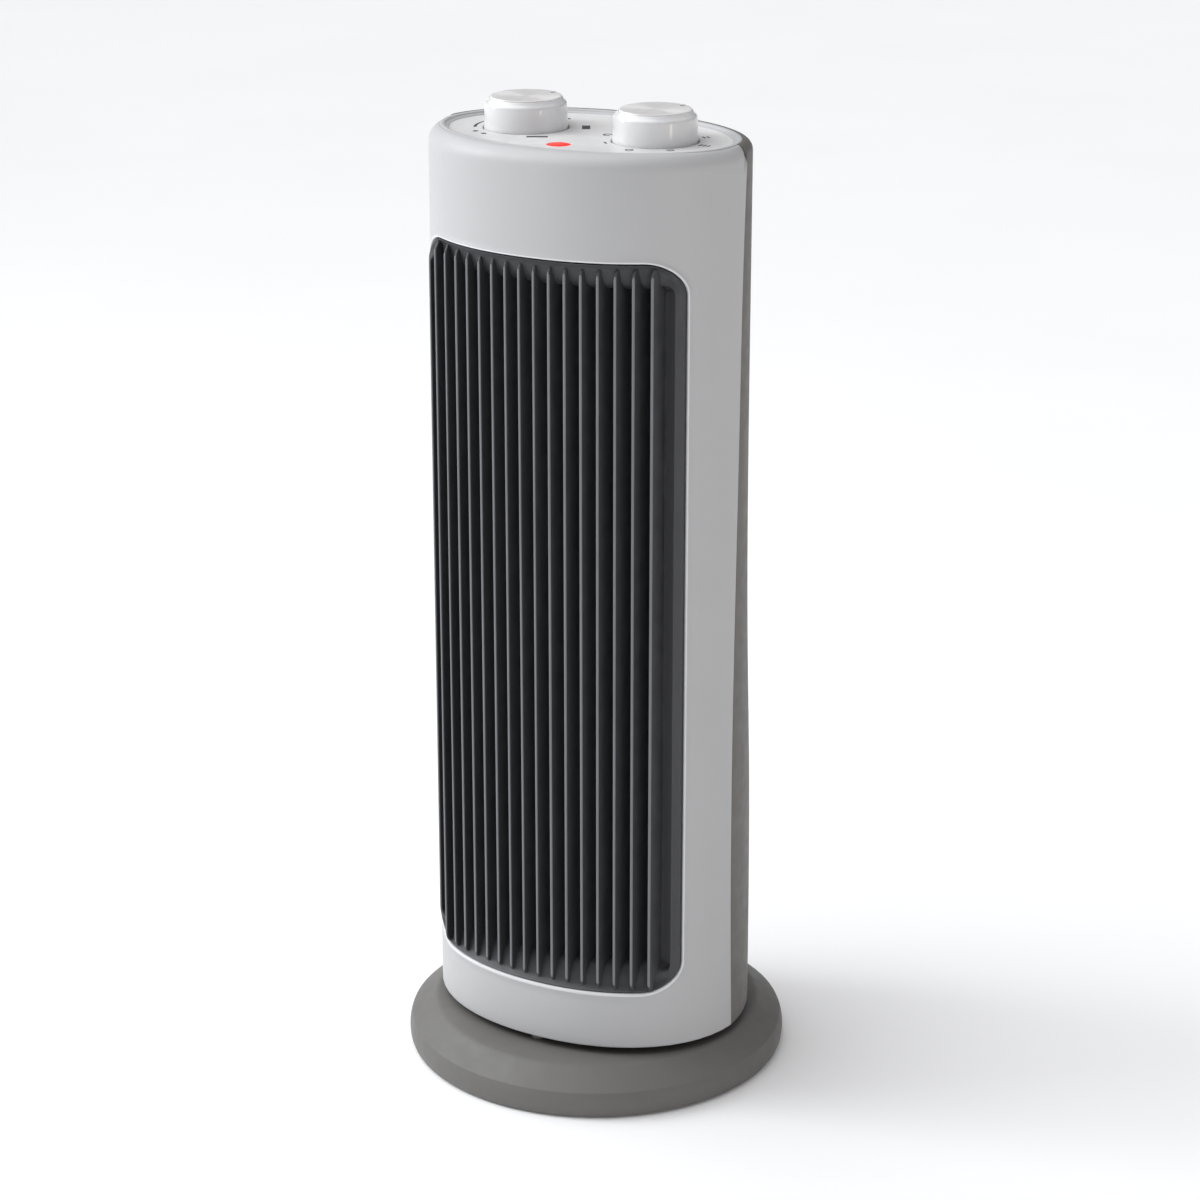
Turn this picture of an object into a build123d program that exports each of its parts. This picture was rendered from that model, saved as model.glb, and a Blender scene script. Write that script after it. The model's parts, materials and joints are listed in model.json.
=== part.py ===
from build123d import *
import math
import os

# Fan convector heater: an upright oscillating tower on a round base.
# Millimetres, +Z up, front towards -Y, origin on the floor under the swivel axis.

# Base
BASE_FOOT_R = 118.0          # bottom edge of the rim
BASE_WIDEST_R = 119.0        # slight bulge half way up the rim
BASE_RIM_R = 117.3
BASE_RIM_Z = 16.9
BASE_DISC_R = 101.7
BASE_DISC_Z = 27.5
BASE_EDGE_Z = 1.5            # the cover's lower edge, clear of the floor
BASE_WALL = 2.5
BASE_PLATE_R = 114.0
BASE_PLATE_Z = (2.0, 4.5)
BASE_SCREW_R = 92.0          # circle of the screws that hold the bottom plate
FEET_R = 101.0               # circle of the rubber feet
FOOT_SIZE = 7.0
FOOT_COUNT = 5
INLET_BORE_R = 3.6
INLET_OUTER_R = 5.0
INLET_Z = 9.6
INLET_Y = (106.5, 118.5)

# Swivel bearing, on the origin's Z axis
SPIGOT_R = 20.0
SPIGOT_BORE_R = 15.0
SPIGOT_TOP = 40.0
RUNNING_GAP = 0.1
RETAINER_R = 27.0
RETAINER_THICK = 2.5
RETAINER_SCREW_R = 17.5
WASHER_R = 33.0
PAD_CIRCLE_R = 72.0
PAD_SIZE = 4.0
PAD_ANGLES = (30, 150, 210, 270, 330)

# Oscillating drive: a crank pin in a radial slot of the tower's bottom plate
CRANK_Y = 40.0               # crank axis behind the swivel axis
SWIVEL_LIMIT = 30.0          # degrees each way
CRANK_THROW = CRANK_Y * math.tan(math.radians(SWIVEL_LIMIT))
CRANK_Z = (28.2, 31.5)
CRANK_PIN_R = 3.0
CRANK_ARM_WIDTH = 10.0
CRANK_SHAFT_R = 3.0
DRIVE_CAN_R = 24.5
DRIVE_CAN_Z = (6.5, 24.5)
DRIVE_EAR_X = 29.0
SLOT_HALF_WIDTH = 4.5
SLOT_FROM_R = 41.0
SLOT_TO_R = 68.0

# Tower casing
BODY_BOTTOM = 32.5
BODY_TOP = 584.0
WALL = 2.4
HALF_WIDTH = 101.7
FRONT_DEPTH = 80.1
FRONT_CENTRE_Y = -1.5
REAR_HALF_WIDTH = 101.1
REAR_CENTRE_Y = -8.0
REAR_SLIM_Y = 61.0           # depth of the upper, slimmer part of the back
REAR_BULGE = 27.0            # how much deeper the back is near the base
REAR_BULGE_MID_Z = 245.0
REAR_BULGE_RUN = 45.0
REAR_LEVELS = 9
FRONT_TOP_ROUND = 9.5
REAR_TOP_ROUND = 6.5
CAVITY_TOP = 576.0
SEAM = ((20, -7.4), (100, -9.9), (190, -10.9), (400, -8.4), (530, -5.9), (600, -2.4))
SEAM_GAP = 0.2

# Bottom plate of the tower
PLATE_Z = (33.5, 36.5)
PLATE_INSET = 2.6
PLATE_COLLAR_R = 25.0
PLATE_SCREWS_FRONT = (88.0, -30.0)
PLATE_SCREWS_REAR = (86.0, 28.0)
PLATE_BOSS_TOP = 58.0

# Screws between the two shells, along Y
SHELL_SCREW_X = 80.0
SHELL_SCREW_LEVELS = (54.0, 548.0)
SHELL_SCREW_SEAT_Y = 8.0
SHELL_SCREW_LENGTH = 33.0
SCREW_R = 1.5
SCREW_HEAD_R = 3.0
SCREW_HEAD_HIGH = 1.8
PILOT_R = 1.55

# Outlet window and grille
WINDOW_HALF_WIDTH = 86.0
WINDOW_Z = (69.7, 522.3)
WINDOW_CORNER_R = 19.0
WINDOW_GAP = 0.4
GRILLE_ARC_R = 156.5         # the fins' front edges lie on this flatter arc
GRILLE_FRONT_Y = -80.7
GRILLE_PROUD = 0.6           # of the casing, at the frame
GRILLE_SIDE_BAND = 3.4       # width of the frame beside the fins
GRILLE_END_BAND = 11.0       # and above and below them
GRILLE_DEPTH = 14.0
GRILLE_BACK_Y = -30.0
FIN_COUNT = 16
FIN_PITCH = 9.66
FIN_THICK = 1.8
FIN_DEPTH = 22.0

# Air intake in the back
INTAKE_Z = (190.0, 445.0)
INTAKE_ROWS = 34
INTAKE_COLUMNS = (-44.0, 0.0, 44.0)
INTAKE_SLOT = (40.0, 3.4)

# Control panel and knobs
PANEL_HALF = (95.0, 62.3)
PANEL_CENTRE_Y = -7.7
PANEL_Z = (579.3, 582.0)
PANEL_GAP = 0.15
PANEL_LEDGE = 3.0
KNOB_X = 43.4
KNOB_Y = -7.0
CUP_R = 25.6
CUP_FLOOR_Z = (576.2, 578.0)
CUP_WALL = 1.8
KNOB_R = 24.8
KNOB_TOP_R = 24.3
KNOB_DISC_R = 21.6
KNOB_BOTTOM = 578.4
KNOB_SIDE_TOP = 596.0
KNOB_TOP = 599.2
CAP_R = 21.2
CAP_Z = (598.0, 600.0)
SPINDLE_R = 3.0
SPINDLE_Z = (560.0, 593.5)
CONTROL_BODY_Z = (554.0, 576.1)
CONTROL_SCREW_X = 12.0
LENS_R = 7.0
LENS_AT = (1.0, -44.5)
LENS_TOP = 582.6

# Air duct and heater
BAFFLE_Y = (-26.0, -23.5)
BAFFLE_HALF_WIDTH = 90.0
BAFFLE_Z = (61.0, 531.5)
BAFFLE_SCREWS = ((60.0, 65.0), (60.0, 527.5))
BAFFLE_DUCT_X = 81.5
BAFFLE_DUCT_SETBACK = 8.0    # of the duct's front edge behind the casing's skin
BAFFLE_WALL = 2.0
HEATER_HALF_WIDTH = 42.7
HEATER_Z = (190.0, 441.0)
HEATER_Y = (-23.4, -5.4)
HEATER_RIM = 8.0
HEATER_RIBS_Z = (250.0, 315.0, 377.0)
HEATER_RIB_HIGH = 4.0
PTC_BAR_COUNT = 3
PTC_BAR_WIDTH = 6.0
RIBBON_SHIFT = 2.2           # across the bars, which makes the sloped sheet about 0.6 thick
RIBBON_WAVES = 31

# Fan
FAN_Y = 28.0
FAN_R = 24.0
FAN_Z = (178.0, 454.0)
FAN_BLADES = 20
FAN_BLADE = (6.4, 1.2)
FAN_BLADE_R = 20.6
FAN_BLADE_TILT = 55.0
FAN_DISC = 2.0
SCROLL_Z = (173.0, 458.0)
SCROLL_PLATE = 3.0
SCROLL_HALF_WIDTH = 47.0
SCROLL_START_R = 26.5
SCROLL_GROWTH = 0.214        # of the spiral, per radian
SCROLL_FROM = 80.0
SCROLL_TO = 190.0
SCROLL_FRONT_Y = -4.9
SHAFT_R = 2.5
BUSH_BORE_R = 2.55
BUSH_R = 5.0
RUBBER_R = 9.0

# Fan motor, shaded pole, under the scroll
STATOR_Z = (130.0, 150.0)
STATOR_HALF_WIDTH = 27.0
STATOR_Y = (6.0, 70.0)
STATOR_BORE_R = 14.15
ROTOR_R = 13.8
COIL_WINDOW = (14.0, 49.0, 58.0)
COIL_BUILD = 8.0
MOTOR_SCREW_X = 20.0
BRACKET_THICK = 3.0
BRACKET_RISE = 10.0
BRACKET_BOSS_R = 8.0

# Tip-over switch, beside the swivel
TILT_AT = (-60.0, 24.0)
TILT_PIVOT_Z = 70.0
TILT_CHEEK_X = 12.0
TILT_CHEEK_Y = (8.5, 10.0)
TILT_ARM = 20.0
TILT_WEIGHT_R = 7.0
TILT_PIN_R = 1.5

UP = (Align.CENTER, Align.CENTER, Align.MIN)


def post(radius, bottom, top, x=0.0, y=0.0):
    """Upright cylinder between two heights."""
    return Pos(x, y, bottom) * Cylinder(radius, top - bottom, align=UP)


def ring(outer, inner, bottom, top, x=0.0, y=0.0):
    """Upright ring between two heights."""
    return post(outer, bottom, top, x, y) - post(inner, bottom - 1, top + 1, x, y)


def block(x_span, y_span, z_span):
    """Box between two limits along each axis."""
    size = [high - low for low, high in (x_span, y_span, z_span)]
    middle = [(low + high) / 2 for low, high in (x_span, y_span, z_span)]
    return Pos(*middle) * Box(*size)


def rod_y(radius, y_from, y_to, x, z):
    """Cylinder along Y between two depths."""
    rod = Cylinder(radius, y_to - y_from, align=UP)
    return Pos(x, y_from, z) * Rot(-90, 0, 0) * rod


def rounded_window(half_width, z_span, corner, y_span):
    """Prism along Y with the outline of a rounded rectangle."""
    low, high = z_span
    outline = RectangleRounded(2 * half_width, high - low, corner)
    prism = extrude(outline, y_span[1] - y_span[0])
    return Pos(0, y_span[0], (low + high) / 2) * Rot(-90, 0, 0) * prism


def screw(length, shank=SCREW_R, head=SCREW_HEAD_R, head_high=SCREW_HEAD_HIGH):
    """Cross-head screw, its head above Z 0 and its shank below."""
    body = post(head, 0, head_high) + post(shank, -length, 0)
    arm = 1.2 * head
    for turn in (0, 90):
        body -= Pos(0, 0, head_high) * Rot(0, 0, turn) * Box(arm, 0.25 * head, 0.9 * head_high)
    return body


def on_circle(radius, count, start=0.0):
    """Points evenly spaced on a circle about the Z axis."""
    turns = [math.radians(start + 360 * i / count) for i in range(count)]
    return [(radius * math.cos(t), radius * math.sin(t)) for t in turns]


def rear_depth(z):
    """How far the back reaches along +Y: deep near the base, slim above."""
    return REAR_SLIM_Y + REAR_BULGE / (1 + math.exp((z - REAR_BULGE_MID_Z) / REAR_BULGE_RUN))


def front_ellipse(inset):
    return Pos(0, FRONT_CENTRE_Y) * Ellipse(HALF_WIDTH - inset, FRONT_DEPTH - inset)


def rear_ellipse(inset, z):
    depth = rear_depth(z) - REAR_CENTRE_Y - inset
    return Pos(0, REAR_CENTRE_Y) * Ellipse(REAR_HALF_WIDTH - inset, depth)


def front_block(inset, bottom, top):
    """Upright solid with the front half's plan."""
    return Pos(0, 0, bottom) * extrude(front_ellipse(inset), top - bottom)


def rear_block(inset, bottom, top):
    """Solid through the back's plans, following its depth curve."""
    step = (top - bottom) / REAR_LEVELS
    heights = [bottom + step * i for i in range(REAR_LEVELS + 1)]
    return loft([Pos(0, 0, z) * rear_ellipse(inset, z) for z in heights])


def ahead_of_seam(shift=0.0):
    """Everything in front of the parting line between the shells."""
    points = [(y + shift, z) for z, y in SEAM]
    far = -150.0
    low, high = SEAM[0][0], SEAM[-1][0]
    curve = Spline(*points)
    sides = Polyline(points[-1], (far, high), (far, low), points[0])
    side_view = Plane.YZ * make_face(curve + sides)
    return extrude(side_view, 130, both=True)


def panel_seat():
    """Opening in the top of the casing, with a ledge for the panel."""
    half_x, half_y = PANEL_HALF
    upper = Ellipse(half_x + PANEL_GAP, half_y + PANEL_GAP)
    lower = Ellipse(half_x - PANEL_LEDGE, half_y - PANEL_LEDGE)
    top_cut = Pos(0, PANEL_CENTRE_Y, PANEL_Z[0]) * extrude(upper, 30)
    low_cut = Pos(0, PANEL_CENTRE_Y, CAVITY_TOP - 2) * extrude(lower, 10)
    return top_cut + low_cut


def window_opening(gap):
    span = (WINDOW_Z[0] - gap, WINDOW_Z[1] + gap)
    return rounded_window(WINDOW_HALF_WIDTH + gap, span, WINDOW_CORNER_R + gap, (-95, -18))


def make_front_shell():
    outer = front_block(0, BODY_BOTTOM, BODY_TOP)
    outer = fillet(outer.edges().group_by(Axis.Z)[-1], FRONT_TOP_ROUND)
    shell = outer - front_block(WALL, BODY_BOTTOM - 1, CAVITY_TOP)
    shell -= panel_seat()
    shell -= window_opening(WINDOW_GAP)
    within = front_block(1.0, PLATE_Z[1] + 0.1, CAVITY_TOP - 1)
    x, y = PLATE_SCREWS_FRONT
    for side in (-1, 1):
        for z in SHELL_SCREW_LEVELS:
            shell += rod_y(4.5, -60, 0, side * SHELL_SCREW_X, z) & within
        for boss_x, z in BAFFLE_SCREWS:
            shell += rod_y(3.8, -78, BAFFLE_Y[0] - 0.1, side * boss_x, z) & within
        shell += post(5, PLATE_Z[1] + 0.1, PLATE_BOSS_TOP, side * x, y) & within
    for side in (-1, 1):
        for z in SHELL_SCREW_LEVELS:
            shell -= rod_y(PILOT_R, -32, 0, side * SHELL_SCREW_X, z)
        for boss_x, z in BAFFLE_SCREWS:
            shell -= rod_y(PILOT_R, -42, 0, side * boss_x, z)
        shell -= post(PILOT_R, PLATE_Z[1], PLATE_BOSS_TOP - 4, side * x, y)
    return shell & ahead_of_seam()


def intake_slots():
    long, high = INTAKE_SLOT
    slot = Rot(-90, 0, 0) * extrude(SlotOverall(long, high), 80)
    step = (INTAKE_Z[1] - INTAKE_Z[0]) / (INTAKE_ROWS - 1)
    rows = [INTAKE_Z[0] + step * i for i in range(INTAKE_ROWS)]
    return [Pos(x, 25, z) * slot for x in INTAKE_COLUMNS for z in rows]


def make_rear_shell():
    outer = rear_block(0, BODY_BOTTOM, BODY_TOP)
    outer = fillet(outer.edges().group_by(Axis.Z)[-1], REAR_TOP_ROUND)
    shell = outer - rear_block(WALL, BODY_BOTTOM - 1, CAVITY_TOP)
    shell -= panel_seat()
    within = rear_block(1.0, PLATE_Z[1] + 0.1, CAVITY_TOP - 1)
    x, y = PLATE_SCREWS_REAR
    for side in (-1, 1):
        for z in SHELL_SCREW_LEVELS:
            shell += rod_y(5.5, -20, 70, side * SHELL_SCREW_X, z) & within
        shell += post(5.5, PLATE_Z[1] + 0.1, PLATE_BOSS_TOP, side * x, y) & within
    for side in (-1, 1):
        for z in SHELL_SCREW_LEVELS:
            shell -= rod_y(PILOT_R + 0.15, -20, 30, side * SHELL_SCREW_X, z)
            shell -= rod_y(SCREW_HEAD_R + 0.8, SHELL_SCREW_SEAT_Y, 90, side * SHELL_SCREW_X, z)
        shell -= post(PILOT_R, PLATE_Z[1], PLATE_BOSS_TOP - 8, side * x, y)
    shell -= intake_slots()
    return shell - ahead_of_seam(SEAM_GAP)


def make_shell_screws():
    turned = Rot(-90, 0, 0) * screw(SHELL_SCREW_LENGTH)
    places = [(side * SHELL_SCREW_X, z) for side in (-1, 1) for z in SHELL_SCREW_LEVELS]
    return [Pos(x, SHELL_SCREW_SEAT_Y, z) * turned for x, z in places]


def plate_screw_points():
    front, rear = PLATE_SCREWS_FRONT, PLATE_SCREWS_REAR
    return [(side * x, y) for side in (-1, 1) for x, y in (front, rear)]


def make_bottom_plate():
    bottom, top = PLATE_Z
    ahead = Pos(0, REAR_CENTRE_Y) * Rectangle(300, 200, align=(Align.CENTER, Align.MAX))
    front = front_ellipse(PLATE_INSET) & ahead
    rear = rear_ellipse(PLATE_INSET, bottom) - ahead
    plate = Pos(0, 0, bottom) * extrude(front + rear, top - bottom)
    plate += post(PLATE_COLLAR_R, bottom, SPIGOT_TOP - RUNNING_GAP)
    plate -= post(SPIGOT_R + RUNNING_GAP, bottom - 1, SPIGOT_TOP + 1)
    long = SLOT_TO_R - SLOT_FROM_R
    slot = extrude(SlotOverall(long, 2 * SLOT_HALF_WIDTH, rotation=90), 10)
    plate -= Pos(0, (SLOT_FROM_R + SLOT_TO_R) / 2, bottom - 1) * slot
    seat = bottom + SCREW_HEAD_HIGH
    for x, y in plate_screw_points():
        plate -= post(PILOT_R + 0.15, bottom - 1, top + 1, x, y)
        plate -= post(SCREW_HEAD_R + 0.2, bottom - 1, seat, x, y)
    return plate


def make_bottom_screws():
    inverted = Rot(180, 0, 0) * screw(13, head_high=SCREW_HEAD_HIGH - 0.1)
    seat = PLATE_Z[0] + SCREW_HEAD_HIGH
    return [Pos(x, y, seat) * inverted for x, y in plate_screw_points()]


def arc_cylinder(depth):
    """Upright cylinder whose front is the grille's curved face, set back by depth."""
    centre_y = GRILLE_FRONT_Y + GRILLE_ARC_R
    return post(GRILLE_ARC_R - depth, WINDOW_Z[0] - 20, WINDOW_Z[1] + 20, 0, centre_y)


def make_outlet_grille():
    low, high = WINDOW_Z
    depth = (-95, GRILLE_BACK_Y)
    outside = rounded_window(WINDOW_HALF_WIDTH, WINDOW_Z, WINDOW_CORNER_R, depth)
    inner_z = (low + GRILLE_END_BAND, high - GRILLE_END_BAND)
    inner_half = WINDOW_HALF_WIDTH - GRILLE_SIDE_BAND
    inner_r = WINDOW_CORNER_R - GRILLE_SIDE_BAND
    inside = rounded_window(inner_half, inner_z, inner_r, (depth[0] - 1, depth[1] + 1))
    skin = front_block(-GRILLE_PROUD, low - 5, high + 5) - front_block(GRILLE_DEPTH, low - 6, high + 6)
    grille = (outside - inside) & skin
    curved = arc_cylinder(0) - arc_cylinder(FIN_DEPTH)
    for i in range(FIN_COUNT):
        x = (i - (FIN_COUNT - 1) / 2) * FIN_PITCH
        span = (x - FIN_THICK / 2, x + FIN_THICK / 2)
        fin = block(span, (-90, GRILLE_BACK_Y), (inner_z[0] - 2, inner_z[1] + 2))
        grille += fin & curved
    return grille


def make_duct_baffle():
    rear_y, front_y = BAFFLE_Y[1], BAFFLE_Y[0]
    low, high = WINDOW_Z
    plate = block((-BAFFLE_HALF_WIDTH, BAFFLE_HALF_WIDTH), BAFFLE_Y, BAFFLE_Z)
    inset = GRILLE_END_BAND + 0.5
    wall_r = WINDOW_CORNER_R - GRILLE_SIDE_BAND - 0.5
    depth = (-80, front_y)
    outer = rounded_window(BAFFLE_DUCT_X, (low + inset, high - inset), wall_r, depth)
    inset += BAFFLE_WALL
    inner = rounded_window(BAFFLE_DUCT_X - BAFFLE_WALL, (low + inset, high - inset), wall_r - BAFFLE_WALL, depth)
    duct = (outer - inner) & front_block(BAFFLE_DUCT_SETBACK, low, high)
    fin_zone = block((-75, 75), (-90, front_y), WINDOW_Z) - arc_cylinder(FIN_DEPTH + 0.5)
    plate += duct - fin_zone
    half = HEATER_HALF_WIDTH
    plate -= block((-half, half), (front_y - 1, rear_y + 1), HEATER_Z)
    for z in HEATER_RIBS_Z:
        rib_z = (z - HEATER_RIB_HIGH / 2, z + HEATER_RIB_HIGH / 2)
        plate += block((-half - 1, half + 1), BAFFLE_Y, rib_z)
    for side in (-1, 1):
        for x, z in BAFFLE_SCREWS:
            plate -= rod_y(PILOT_R + 0.15, front_y - 1, rear_y + 1, side * x, z)
    return plate


def make_baffle_screws():
    turned = Rot(-90, 0, 0) * screw(14)
    places = [(side * x, z) for side in (-1, 1) for x, z in BAFFLE_SCREWS]
    return [Pos(x, BAFFLE_Y[1], z) * turned for x, z in places]


def ptc_bar_centres():
    """X of each heating bar, evenly spread between the fin columns."""
    column = (2 * HEATER_HALF_WIDTH - 0.4 - PTC_BAR_COUNT * PTC_BAR_WIDTH) / (PTC_BAR_COUNT + 1)
    pitch = column + PTC_BAR_WIDTH
    return column, [(i - (PTC_BAR_COUNT - 1) / 2) * pitch for i in range(PTC_BAR_COUNT)]


def make_heater_frame():
    half = HEATER_HALF_WIDTH
    low, high = HEATER_Z
    outer = block((-half - HEATER_RIM, half + HEATER_RIM), HEATER_Y, (low - 10, high + 10))
    frame = outer - block((-half, half), (HEATER_Y[0] - 1, HEATER_Y[1] + 1), HEATER_Z)
    for x in ptc_bar_centres()[1]:
        frame -= block((x - 2.7, x + 2.7), (-15.2, -13.8), (high - 1, high + 11))
    return frame


def make_ptc_bars():
    low, high = HEATER_Z
    half = PTC_BAR_WIDTH / 2 - 0.1
    span_y = (HEATER_Y[0] + 1, HEATER_Y[1] - 1)
    return [block((x - half, x + half), span_y, (low + 0.2, high - 0.2)) for x in ptc_bar_centres()[1]]


def make_heater_terminals():
    high = HEATER_Z[1]
    return [block((x - 2.5, x + 2.5), (-14.9, -14.1), (high, high + 22)) for x in ptc_bar_centres()[1]]


def ribbon(width):
    """Corrugated aluminium ribbon between two bars, its waves running up along Z."""
    low, high = HEATER_Z[0] + 1.0, HEATER_Z[1] - 1.0
    step = (high - low) / (2 * RIBBON_WAVES)
    left, right = -width / 2, width / 2 - RIBBON_SHIFT
    front = [((left if i % 2 else right), low + step * i) for i in range(2 * RIBBON_WAVES + 1)]
    back = [(x + RIBBON_SHIFT, z) for x, z in reversed(front)]
    outline = make_face(Polyline(*front, *back, close=True))
    depth = HEATER_Y[1] - HEATER_Y[0] - 4
    return Pos(0, HEATER_Y[1] - 2, 0) * extrude(Plane.XZ * outline, depth)


def make_heater_fins():
    column, centres = ptc_bar_centres()
    pitch = column + PTC_BAR_WIDTH
    edges = [centres[0] - pitch / 2 + pitch * i for i in range(PTC_BAR_COUNT + 1)]
    wave = ribbon(column - 0.4)
    return [Pos(x, 0, 0) * wave for x in edges]


def make_thermal_cutout():
    z = HEATER_Z[1] + 10
    return post(7.5, z, z + 5, 36, -14.4) + post(5, z + 5, z + 9, 36, -14.4)


def make_thermal_fuse():
    capsule = Rot(0, 90, 0) * Cylinder(2, 14)
    wire = Rot(0, 90, 0) * Cylinder(0.5, 26)
    return Pos(-11, -9, HEATER_Z[1] + 12.5) * (capsule + wire)


def spiral_point(degrees, extra):
    """Point on the scroll's spiral about the fan axis, moved out by extra."""
    growth = math.exp(SCROLL_GROWTH * math.radians(degrees - SCROLL_FROM))
    radius = SCROLL_START_R * growth + extra
    angle = math.radians(degrees)
    return radius * math.cos(angle), FAN_Y + radius * math.sin(angle)


def thin_wall(start, end, thick):
    """Straight wall in plan with round ends."""
    dx, dy = end[0] - start[0], end[1] - start[1]
    middle = Pos((start[0] + end[0]) / 2, (start[1] + end[1]) / 2)
    return middle * Rot(0, 0, math.degrees(math.atan2(dy, dx))) * SlotCenterToCenter(math.hypot(dx, dy), thick)


def make_scroll_housing():
    turns = [SCROLL_FROM + (SCROLL_TO - SCROLL_FROM) * i / 6 for i in range(7)]
    inner = [spiral_point(t, 0) for t in turns]
    outer = [spiral_point(t, 2) for t in reversed(turns)]
    edges = Spline(*inner) + Line(inner[-1], outer[0]) + Spline(*outer) + Line(outer[-1], inner[0])
    plan = make_face(edges)
    corner = (SCROLL_HALF_WIDTH - 1.5, SCROLL_FRONT_Y + 1)
    plan += thin_wall(spiral_point(SCROLL_TO, 1), (-corner[0], corner[1]), 2)
    plan += thin_wall(corner, (25.0, FAN_Y - 17.0), 2)
    low, high = SCROLL_Z
    housing = Pos(0, 0, low) * extrude(plan, high - low)
    half = SCROLL_HALF_WIDTH
    lid = Ellipse(96, REAR_SLIM_Y - REAR_CENTRE_Y - WALL - 2)
    lid = Pos(0, REAR_CENTRE_Y) * lid & Pos(0, SCROLL_FRONT_Y) * Rectangle(
        2 * half, 70, align=(Align.CENTER, Align.MIN)
    )
    housing += Pos(0, 0, low - SCROLL_PLATE) * extrude(lid, SCROLL_PLATE)
    housing += Pos(0, 0, high) * extrude(lid, SCROLL_PLATE)
    housing -= post(8, low - 10, low + 5, 0, FAN_Y)
    housing -= post(RUBBER_R, high - 5, high + 10, 0, FAN_Y)
    for side in (-1, 1):
        housing -= post(1.85, low - 10, low + 5, side * MOTOR_SCREW_X, FAN_Y)
    return housing


def make_fan_impeller():
    low, high = FAN_Z
    fan = post(FAN_R, low, low + FAN_DISC) + post(FAN_R, high - FAN_DISC, high)
    middle = (low + high) / 2
    fan += ring(FAN_R, 16, middle - 1, middle + 1)
    for x, y in on_circle(FAN_BLADE_R, FAN_BLADES):
        lean = math.degrees(math.atan2(y, x)) + FAN_BLADE_TILT
        blade = extrude(SlotOverall(*FAN_BLADE), high - low)
        fan += Pos(x, y, low) * Rot(0, 0, lean) * blade
    fan += post(6, low - 11, low)
    fan -= post(BUSH_BORE_R, low - 12, low + 1)
    fan += post(5, high, high + 1.5)
    fan -= post(BUSH_BORE_R, high - 1.5, high + 2)
    return Pos(0, FAN_Y, 0) * fan


def make_fan_shaft():
    return post(SHAFT_R, 108, FAN_Z[0] + 0.8, 0, FAN_Y)


def make_fan_stub():
    return post(SHAFT_R, FAN_Z[1] - 1.4, FAN_Z[1] + 14, 0, FAN_Y)


def make_top_bush():
    return ring(BUSH_R, BUSH_BORE_R, SCROLL_Z[1], SCROLL_Z[1] + 7, 0, FAN_Y)


def make_top_bush_rubber():
    return ring(RUBBER_R - 0.05, BUSH_R + 0.05, SCROLL_Z[1] - 0.5, SCROLL_Z[1] + 5, 0, FAN_Y)


def make_motor_stator():
    half = STATOR_HALF_WIDTH
    stack = block((-half, half), STATOR_Y, STATOR_Z)
    stack = fillet(stack.edges().filter_by(Axis.Z), 6)
    window, near, far = COIL_WINDOW
    stack -= block((-window, window), (near, far), (STATOR_Z[0] - 1, STATOR_Z[1] + 1))
    stack -= post(STATOR_BORE_R, STATOR_Z[0] - 1, STATOR_Z[1] + 1, 0, FAN_Y)
    for side in (-1, 1):
        stack -= post(1.85, STATOR_Z[0] - 1, STATOR_Z[1] + 1, side * MOTOR_SCREW_X, FAN_Y)
    return stack


def make_motor_coil():
    window, near, far = COIL_WINDOW
    half = window - 0.3
    limb_y = (far - 0.1, STATOR_Y[1] + 0.1)
    limb_z = (STATOR_Z[0] - 0.1, STATOR_Z[1] + 0.1)
    outer_y = (far - COIL_BUILD, STATOR_Y[1] + COIL_BUILD)
    outer_z = (STATOR_Z[0] - COIL_BUILD, STATOR_Z[1] + COIL_BUILD)
    coil = block((-half, half), outer_y, outer_z)
    coil = fillet(coil.edges().filter_by(Axis.X), 4)
    return coil - block((-half - 1, half + 1), limb_y, limb_z)


def make_motor_rotor():
    return ring(ROTOR_R, BUSH_BORE_R, STATOR_Z[0] - 1, STATOR_Z[1] + 1, 0, FAN_Y)


def motor_bracket(base_z, away, post_to):
    """Bearing bridge over one end of the motor; away is +1 above it and -1 below."""
    z_bridge = sorted((base_z + away * BRACKET_RISE, base_z + away * (BRACKET_RISE + BRACKET_THICK)))
    bridge = block((-25, 25), (FAN_Y - 8, FAN_Y + 8), z_bridge)
    boss_z = sorted((base_z + away * 6, base_z + away * 16))
    bridge += post(BRACKET_BOSS_R, *boss_z, 0, FAN_Y)
    for side in (-1, 1):
        leg_z = sorted((base_z + away * 0.1, post_to))
        bridge += post(4, *leg_z, side * MOTOR_SCREW_X, FAN_Y)
        bridge -= post(1.85, leg_z[0] - 1, leg_z[1] + 1, side * MOTOR_SCREW_X, FAN_Y)
    return bridge - post(BUSH_R + 0.05, boss_z[0] - 1, boss_z[1] + 1, 0, FAN_Y)


def make_motor_bracket_upper():
    return motor_bracket(STATOR_Z[1], 1, SCROLL_Z[0] - SCROLL_PLATE - 0.1)


def make_motor_bracket_lower():
    return motor_bracket(STATOR_Z[0], -1, STATOR_Z[0] - BRACKET_RISE - BRACKET_THICK)


def make_motor_bearings():
    upper = ring(BUSH_R, BUSH_BORE_R, STATOR_Z[1] + 6, STATOR_Z[1] + 16, 0, FAN_Y)
    lower = ring(BUSH_R, BUSH_BORE_R, STATOR_Z[0] - 16, STATOR_Z[0] - 6, 0, FAN_Y)
    return [upper, lower]


def make_motor_screws():
    seat = STATOR_Z[0] - BRACKET_RISE - BRACKET_THICK
    inverted = Rot(180, 0, 0) * screw(SCROLL_Z[0] - seat - 0.5, shank=1.75, head=3.4, head_high=2.2)
    return [Pos(side * MOTOR_SCREW_X, FAN_Y, seat) * inverted for side in (-1, 1)]


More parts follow.
